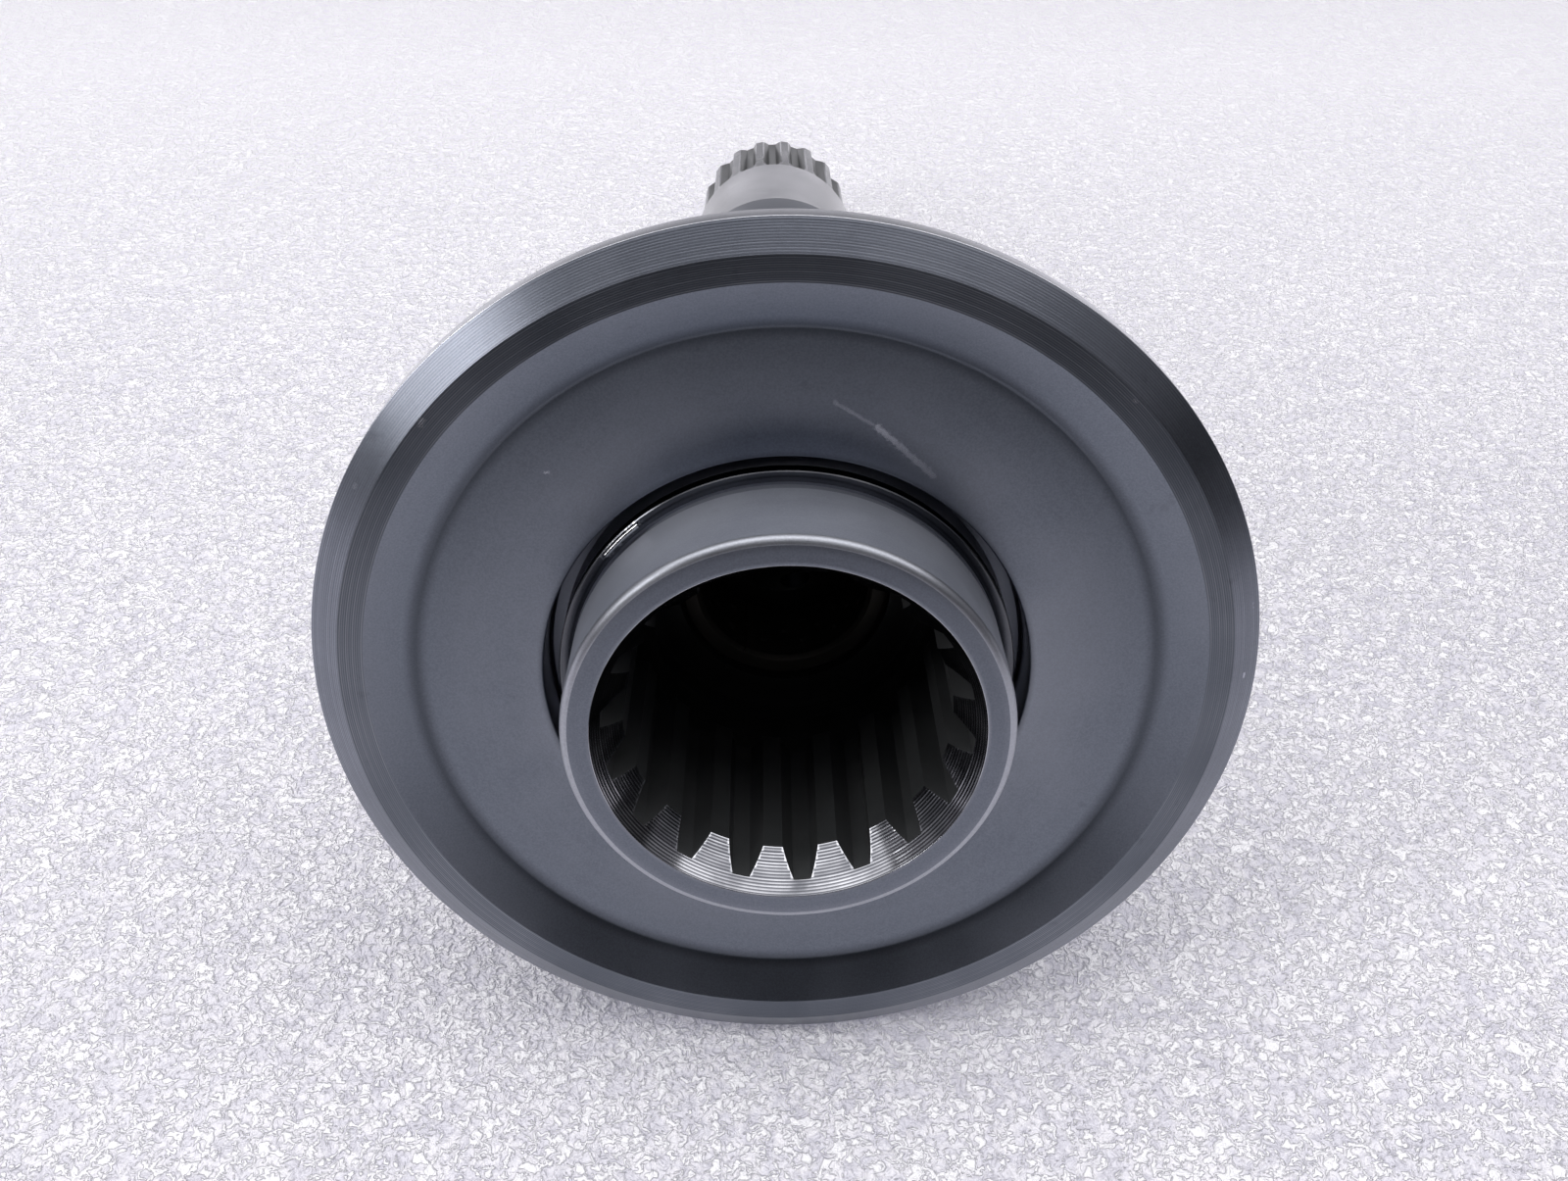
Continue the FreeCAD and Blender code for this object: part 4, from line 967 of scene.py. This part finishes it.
def makeSealRing(name, station, turn):
    s = SimpleNamespace(**sealRings)
    low, high = station - s.half, station + s.half
    corners = [(s.inner, low), (s.outer, low), (s.outer, high), (s.inner, high)]
    blank = meshOf(turnedPiece([corner + (s.edge, 3) for corner in corners], 256), "sealRing")
    reach = (s.inner - 1, s.outer + 1)
    cuts = [
        boxMesh((reach[0], low - 1, 0), (reach[1], station, s.jointGap), turn),
        boxMesh((reach[0], station, s.jointLength), (reach[1], high + 1, s.jointLength + s.jointGap), turn),
        boxMesh((reach[0], station - s.slit, 0.0),
                (reach[1], station + s.slit, s.jointLength + s.jointGap), turn),
    ]
    mesh = combineMesh(blank, cuts)
    node = "seal_ring_" + name
    return finishPiece("sealRing_" + name, mesh, node, node, ["ringIron"])


noseSeal = {"section": 0.9, "radius": 9.5, "station": 198.4, "flash": 0.04}


def makeNoseSeal():
    n = SimpleNamespace(**noseSeal)
    bm = bmesh.new()
    centre = Vector((n.radius, n.station, 0)) * mm
    bmesh.ops.create_circle(bm, segments=28, radius=n.section * mm, matrix=Matrix.Translation(centre))
    # the mould's parting line stands proud inside and outside
    for vert in bm.verts:
        if abs(vert.co.y - centre.y) < 0.01 * mm:
            vert.co.x += math.copysign(n.flash * mm, vert.co.x - centre.x)
    turnMesh(bm, 160)
    return finishPiece("noseSeal", meshOf(bm, "noseSeal"), "shaft", "nose_seal_ring",
                       ["nitrile"])


capsule = {
    "front": 195.0, "rear": 203.0, "outer": 6.0, "orifice": 1.6, "seatRear": 200.65, "chamber": 2.75,
    "lip": 2.2, "lipRear": 195.6, "slot": 1.2, "slots": 4,
}


def makeCapsule():
    c = SimpleNamespace(**capsule)
    corners = [
        (c.lip, c.front, 0.08, 2),
        (c.outer, c.front, 0.3, 3),
        (c.outer, c.rear, 0.3, 3),
        (c.orifice, c.rear, 0.25, 3),
        (c.orifice, c.seatRear),
        (c.chamber, c.seatRear - (c.chamber - c.orifice)),
        (c.chamber, c.lipRear),
        (c.lip, c.lipRear),
    ]
    blank = meshOf(turnedPiece(corners, 128), "capsule")
    slots = [boxMesh((0, c.front - 1, -c.slot / 2), (c.chamber, c.lipRear, c.slot / 2),
                     360 * number / c.slots) for number in range(c.slots)]
    mesh = combineMesh(blank, slots)
    return finishPiece("capsule", mesh, "shaft", "check_ball_capsule", ["drawnSteel"])


ball = {"radius": 2.5, "station": 196.8074}


def makeBall():
    bm = bmesh.new()
    bmesh.ops.create_uvsphere(bm, u_segments=64, v_segments=32, radius=ball["radius"] * mm,
                              matrix=Matrix.Translation((0, ball["station"] * mm, 0)))
    return finishPiece("ball", meshOf(bm, "ball"), "check_ball", "check_ball", ["ballSteel"])


makeCirclip()
makeBushing()
makePlug()
for ringName, (ringStation, ringTurn) in sealRings["rows"].items():
    makeSealRing(ringName, ringStation, ringTurn)
makeNoseSeal()
makeCapsule()
makeBall()
print("inner pieces made")

# noises are (scale, detail, roughness, distortion)
floor = {
    "restFront": (2.2, -50.0), "restRear": (184.5, -14.85), "sink": 0.35, "half": 1800.0,
    "flake": (900.0, 2.0, 0.55, 0.7), "blotch": (420.0, 3.0, 0.6, 0.4), "wave": (26.0,),
    "near": 0.1, "far": 0.3, "farDetail": 0.3, "clusterShare": 0.5, "fleckRange": (0.52, 0.56),
    "filmRange": (0.4, 0.56), "waveRange": (0.35, 0.65), "waveShare": 0.3, "relief": 1.2, "fleckRelief": 0.3,
    "film": (0.9, 0.875, 0.905), "depth": (0.7, 0.68, 0.745), "glint": (1.0, 0.985, 1.0), "roughness": 0.3,
    "glow": (0.1, 0.1, 0.125), "mirrorGlow": (0.28, 0.28, 0.31),
}


def buildFoam():
    f = SimpleNamespace(**floor)
    material, tree, shader = newMaterial("foamSheet")
    place = objectPlace(tree)
    blotch = noise(tree, place, *f.blotch)
    flake = noise(tree, place, *f.flake)
    wave = noise(tree, place, *f.wave)
    # the crinkles get lost with the distance
    detail = ramp(tree, splitVector(tree, place)["Y"], f.near, f.far, (1.0, f.farDetail))
    cluster = times(tree, mathNode(tree, "SUBTRACT", blotch, 0.5), f.clusterShare)
    fleck = ramp(tree, mathNode(tree, "ADD", flake, cluster), *f.fleckRange)
    # the darker lavender between the flakes is the foam's own tone with painted crease shade
    depth = mixColour(tree, detail, f.film, f.depth)
    colour = mixColour(tree, ramp(tree, blotch, *f.filmRange), depth, f.film)
    colour = mixColour(tree, ramp(tree, wave, *f.waveRange, (0.0, f.waveShare)), colour, f.film)
    # painted glints: the flecks take the bright glint colour
    feed(tree, mixColour(tree, fleck, colour, f.glint), shader.inputs["Base Color"])
    shader.inputs["Roughness"].default_value = f.roughness
    # painted glow: an emission that only the eye and mirrors see fills the foam's shadows, in place of light
    # shining through the foam
    rays = addNode(tree, "ShaderNodeLightPath").outputs
    mirrored = mathNode(tree, "MAXIMUM", rays["Is Glossy Ray"], rays["Is Transmission Ray"])
    glow = mixColour(tree, rays["Is Camera Ray"], (0.0, 0.0, 0.0), f.glow)
    feed(tree, mixColour(tree, mirrored, glow, f.mirrorGlow), shader.inputs["Emission Color"])
    shader.inputs["Emission Strength"].default_value = 1.0
    rough = mathNode(tree, "ADD", times(tree, fleck, f.fleckRelief), blotch)
    height = times(tree, mathNode(tree, "ADD", flake, rough), detail)
    addBump(tree, height, f.relief * mm, shader)
    # seen from below, the sheet is clear and the object stays in view
    blend = addNode(tree, "ShaderNodeMixShader")
    sources = (addNode(tree, "ShaderNodeNewGeometry").outputs["Backfacing"], shader.outputs[0],
               addNode(tree, "ShaderNodeBsdfTransparent").outputs[0])
    for socket, source in zip(blend.inputs, sources):
        feed(tree, source, socket)
    feed(tree, blend.outputs[0], tree.nodes["Material Output"].inputs["Surface"])
    return material


def makeFloor():
    (y0, z0), (y1, z1) = floor["restFront"], floor["restRear"]
    tilt = math.atan2(z1 - z0, y1 - y0)
    bm = bmesh.new()
    bmesh.ops.create_grid(bm, x_segments=2, y_segments=2, size=floor["half"] * mm)
    turn = Matrix.Translation((0, y0 * mm, (z0 + floor["sink"]) * mm)) @ Matrix.Rotation(tilt, 4, "X")
    bmesh.ops.transform(bm, matrix=turn, verts=bm.verts[:])
    mesh = meshOf(bm, "floor")
    mesh.materials.append(buildFoam())
    ground = bpy.data.objects.new("floor", mesh)
    scene.collection.objects.link(ground)


# metres: pale walls, dimmer at the sides, under a dim ceiling; a softbox overhead in front, a window
# on the left, and dark cloths that only the steel mirrors
studio = {
    "wall": (0.95, 0.94, 0.96), "ceiling": (0.34, 0.34, 0.36), "fade": (0.12, 0.28),
    "side": (0.3, 0.3, 0.32), "sideFade": (0.55, 0.85), "clothRoughness": 0.9,
    "lamps": {
        "softbox": {"place": (0.08, -0.18, 0.9), "aim": (0.08, -0.18, 0), "size": (2.4, 0.68), "watts": 13.2},
        "window": {"place": (-0.82, -0.51, 0.34), "aim": (0, 0, 0), "size": (0.26, 0.44), "watts": 3.2},
    },
    "cloths": {
        "frontCloth": {
            "place": (-0.07, -0.27, 0.03), "aim": (-0.07, 0, 0.03), "size": (0.74, 0.28), "tone": 0.02,
        },
        "rightCloth": {
            "place": (0.42, -0.2, 0.02), "aim": (0, 0, 0.02), "size": (0.4, 0.22), "tone": 0.12,
        },
    },
}


def aimed(look):
    return (Vector(look["aim"]) - Vector(look["place"])).to_track_quat("-Z", "Y")


def makeWorld():
    world = bpy.data.worlds.new("room")
    scene.world = world
    world.use_nodes = True
    tree = world.node_tree
    direction = splitVector(tree, addNode(tree, "ShaderNodeTexCoord").outputs["Generated"])
    rise = ramp(tree, direction["Z"], *studio["fade"])
    aside = ramp(tree, mathNode(tree, "ABSOLUTE", direction["X"]), *studio["sideFade"])
    wall = mixColour(tree, aside, studio["wall"], studio["side"])
    feed(tree, mixColour(tree, rise, wall, studio["ceiling"]), tree.nodes["Background"].inputs["Color"])
    tree.nodes["Background"].inputs["Strength"].default_value = 1.0


def makeLamp(name, look):
    light = bpy.data.lights.new(name, "AREA")
    light.shape = "RECTANGLE"
    light.size, light.size_y = look["size"]
    light.energy = look["watts"]
    lamp = bpy.data.objects.new(name, light)
    lamp.location = look["place"]
    lamp.rotation_euler = aimed(look).to_euler()
    scene.collection.objects.link(lamp)


def makeCloth(name, look):
    bm = bmesh.new()
    bmesh.ops.create_grid(bm, x_segments=1, y_segments=1, size=0.5)
    bmesh.ops.scale(bm, vec=(*look["size"], 1), verts=bm.verts[:])
    turn = Matrix.Translation(look["place"]) @ aimed(look).to_matrix().to_4x4()
    bmesh.ops.transform(bm, matrix=turn, verts=bm.verts[:])
    mesh = meshOf(bm, name)
    material, tree, shader = newMaterial(name)
    feed(tree, (look["tone"],) * 3, shader.inputs["Base Color"])
    shader.inputs["Roughness"].default_value = studio["clothRoughness"]
    mesh.materials.append(material)
    cloth = bpy.data.objects.new(name, mesh)
    cloth.visible_camera = False
    scene.collection.objects.link(cloth)


makeFloor()
makeWorld()
for lampName, lampLook in studio["lamps"].items():
    makeLamp(lampName, lampLook)
for clothName, clothLook in studio["cloths"].items():
    makeCloth(clothName, clothLook)

cameraLook = {"place": (-2.762, -136.597, 87.433), "turn": (60.7836, -0.4209, -0.7526), "lens": 34.875}
cameraData = bpy.data.cameras.new("camera")
cameraData.lens = cameraLook["lens"]
cameraData.sensor_width = 36
cameraData.clip_start = 0.005
cameraData.clip_end = 20
camera = bpy.data.objects.new("camera", cameraData)
camera.location = Vector(cameraLook["place"]) * mm
camera.rotation_euler = [math.radians(angle) for angle in cameraLook["turn"]]
scene.collection.objects.link(camera)
scene.camera = camera
scene.view_settings.view_transform = "Standard"
print("stage, light and camera made")
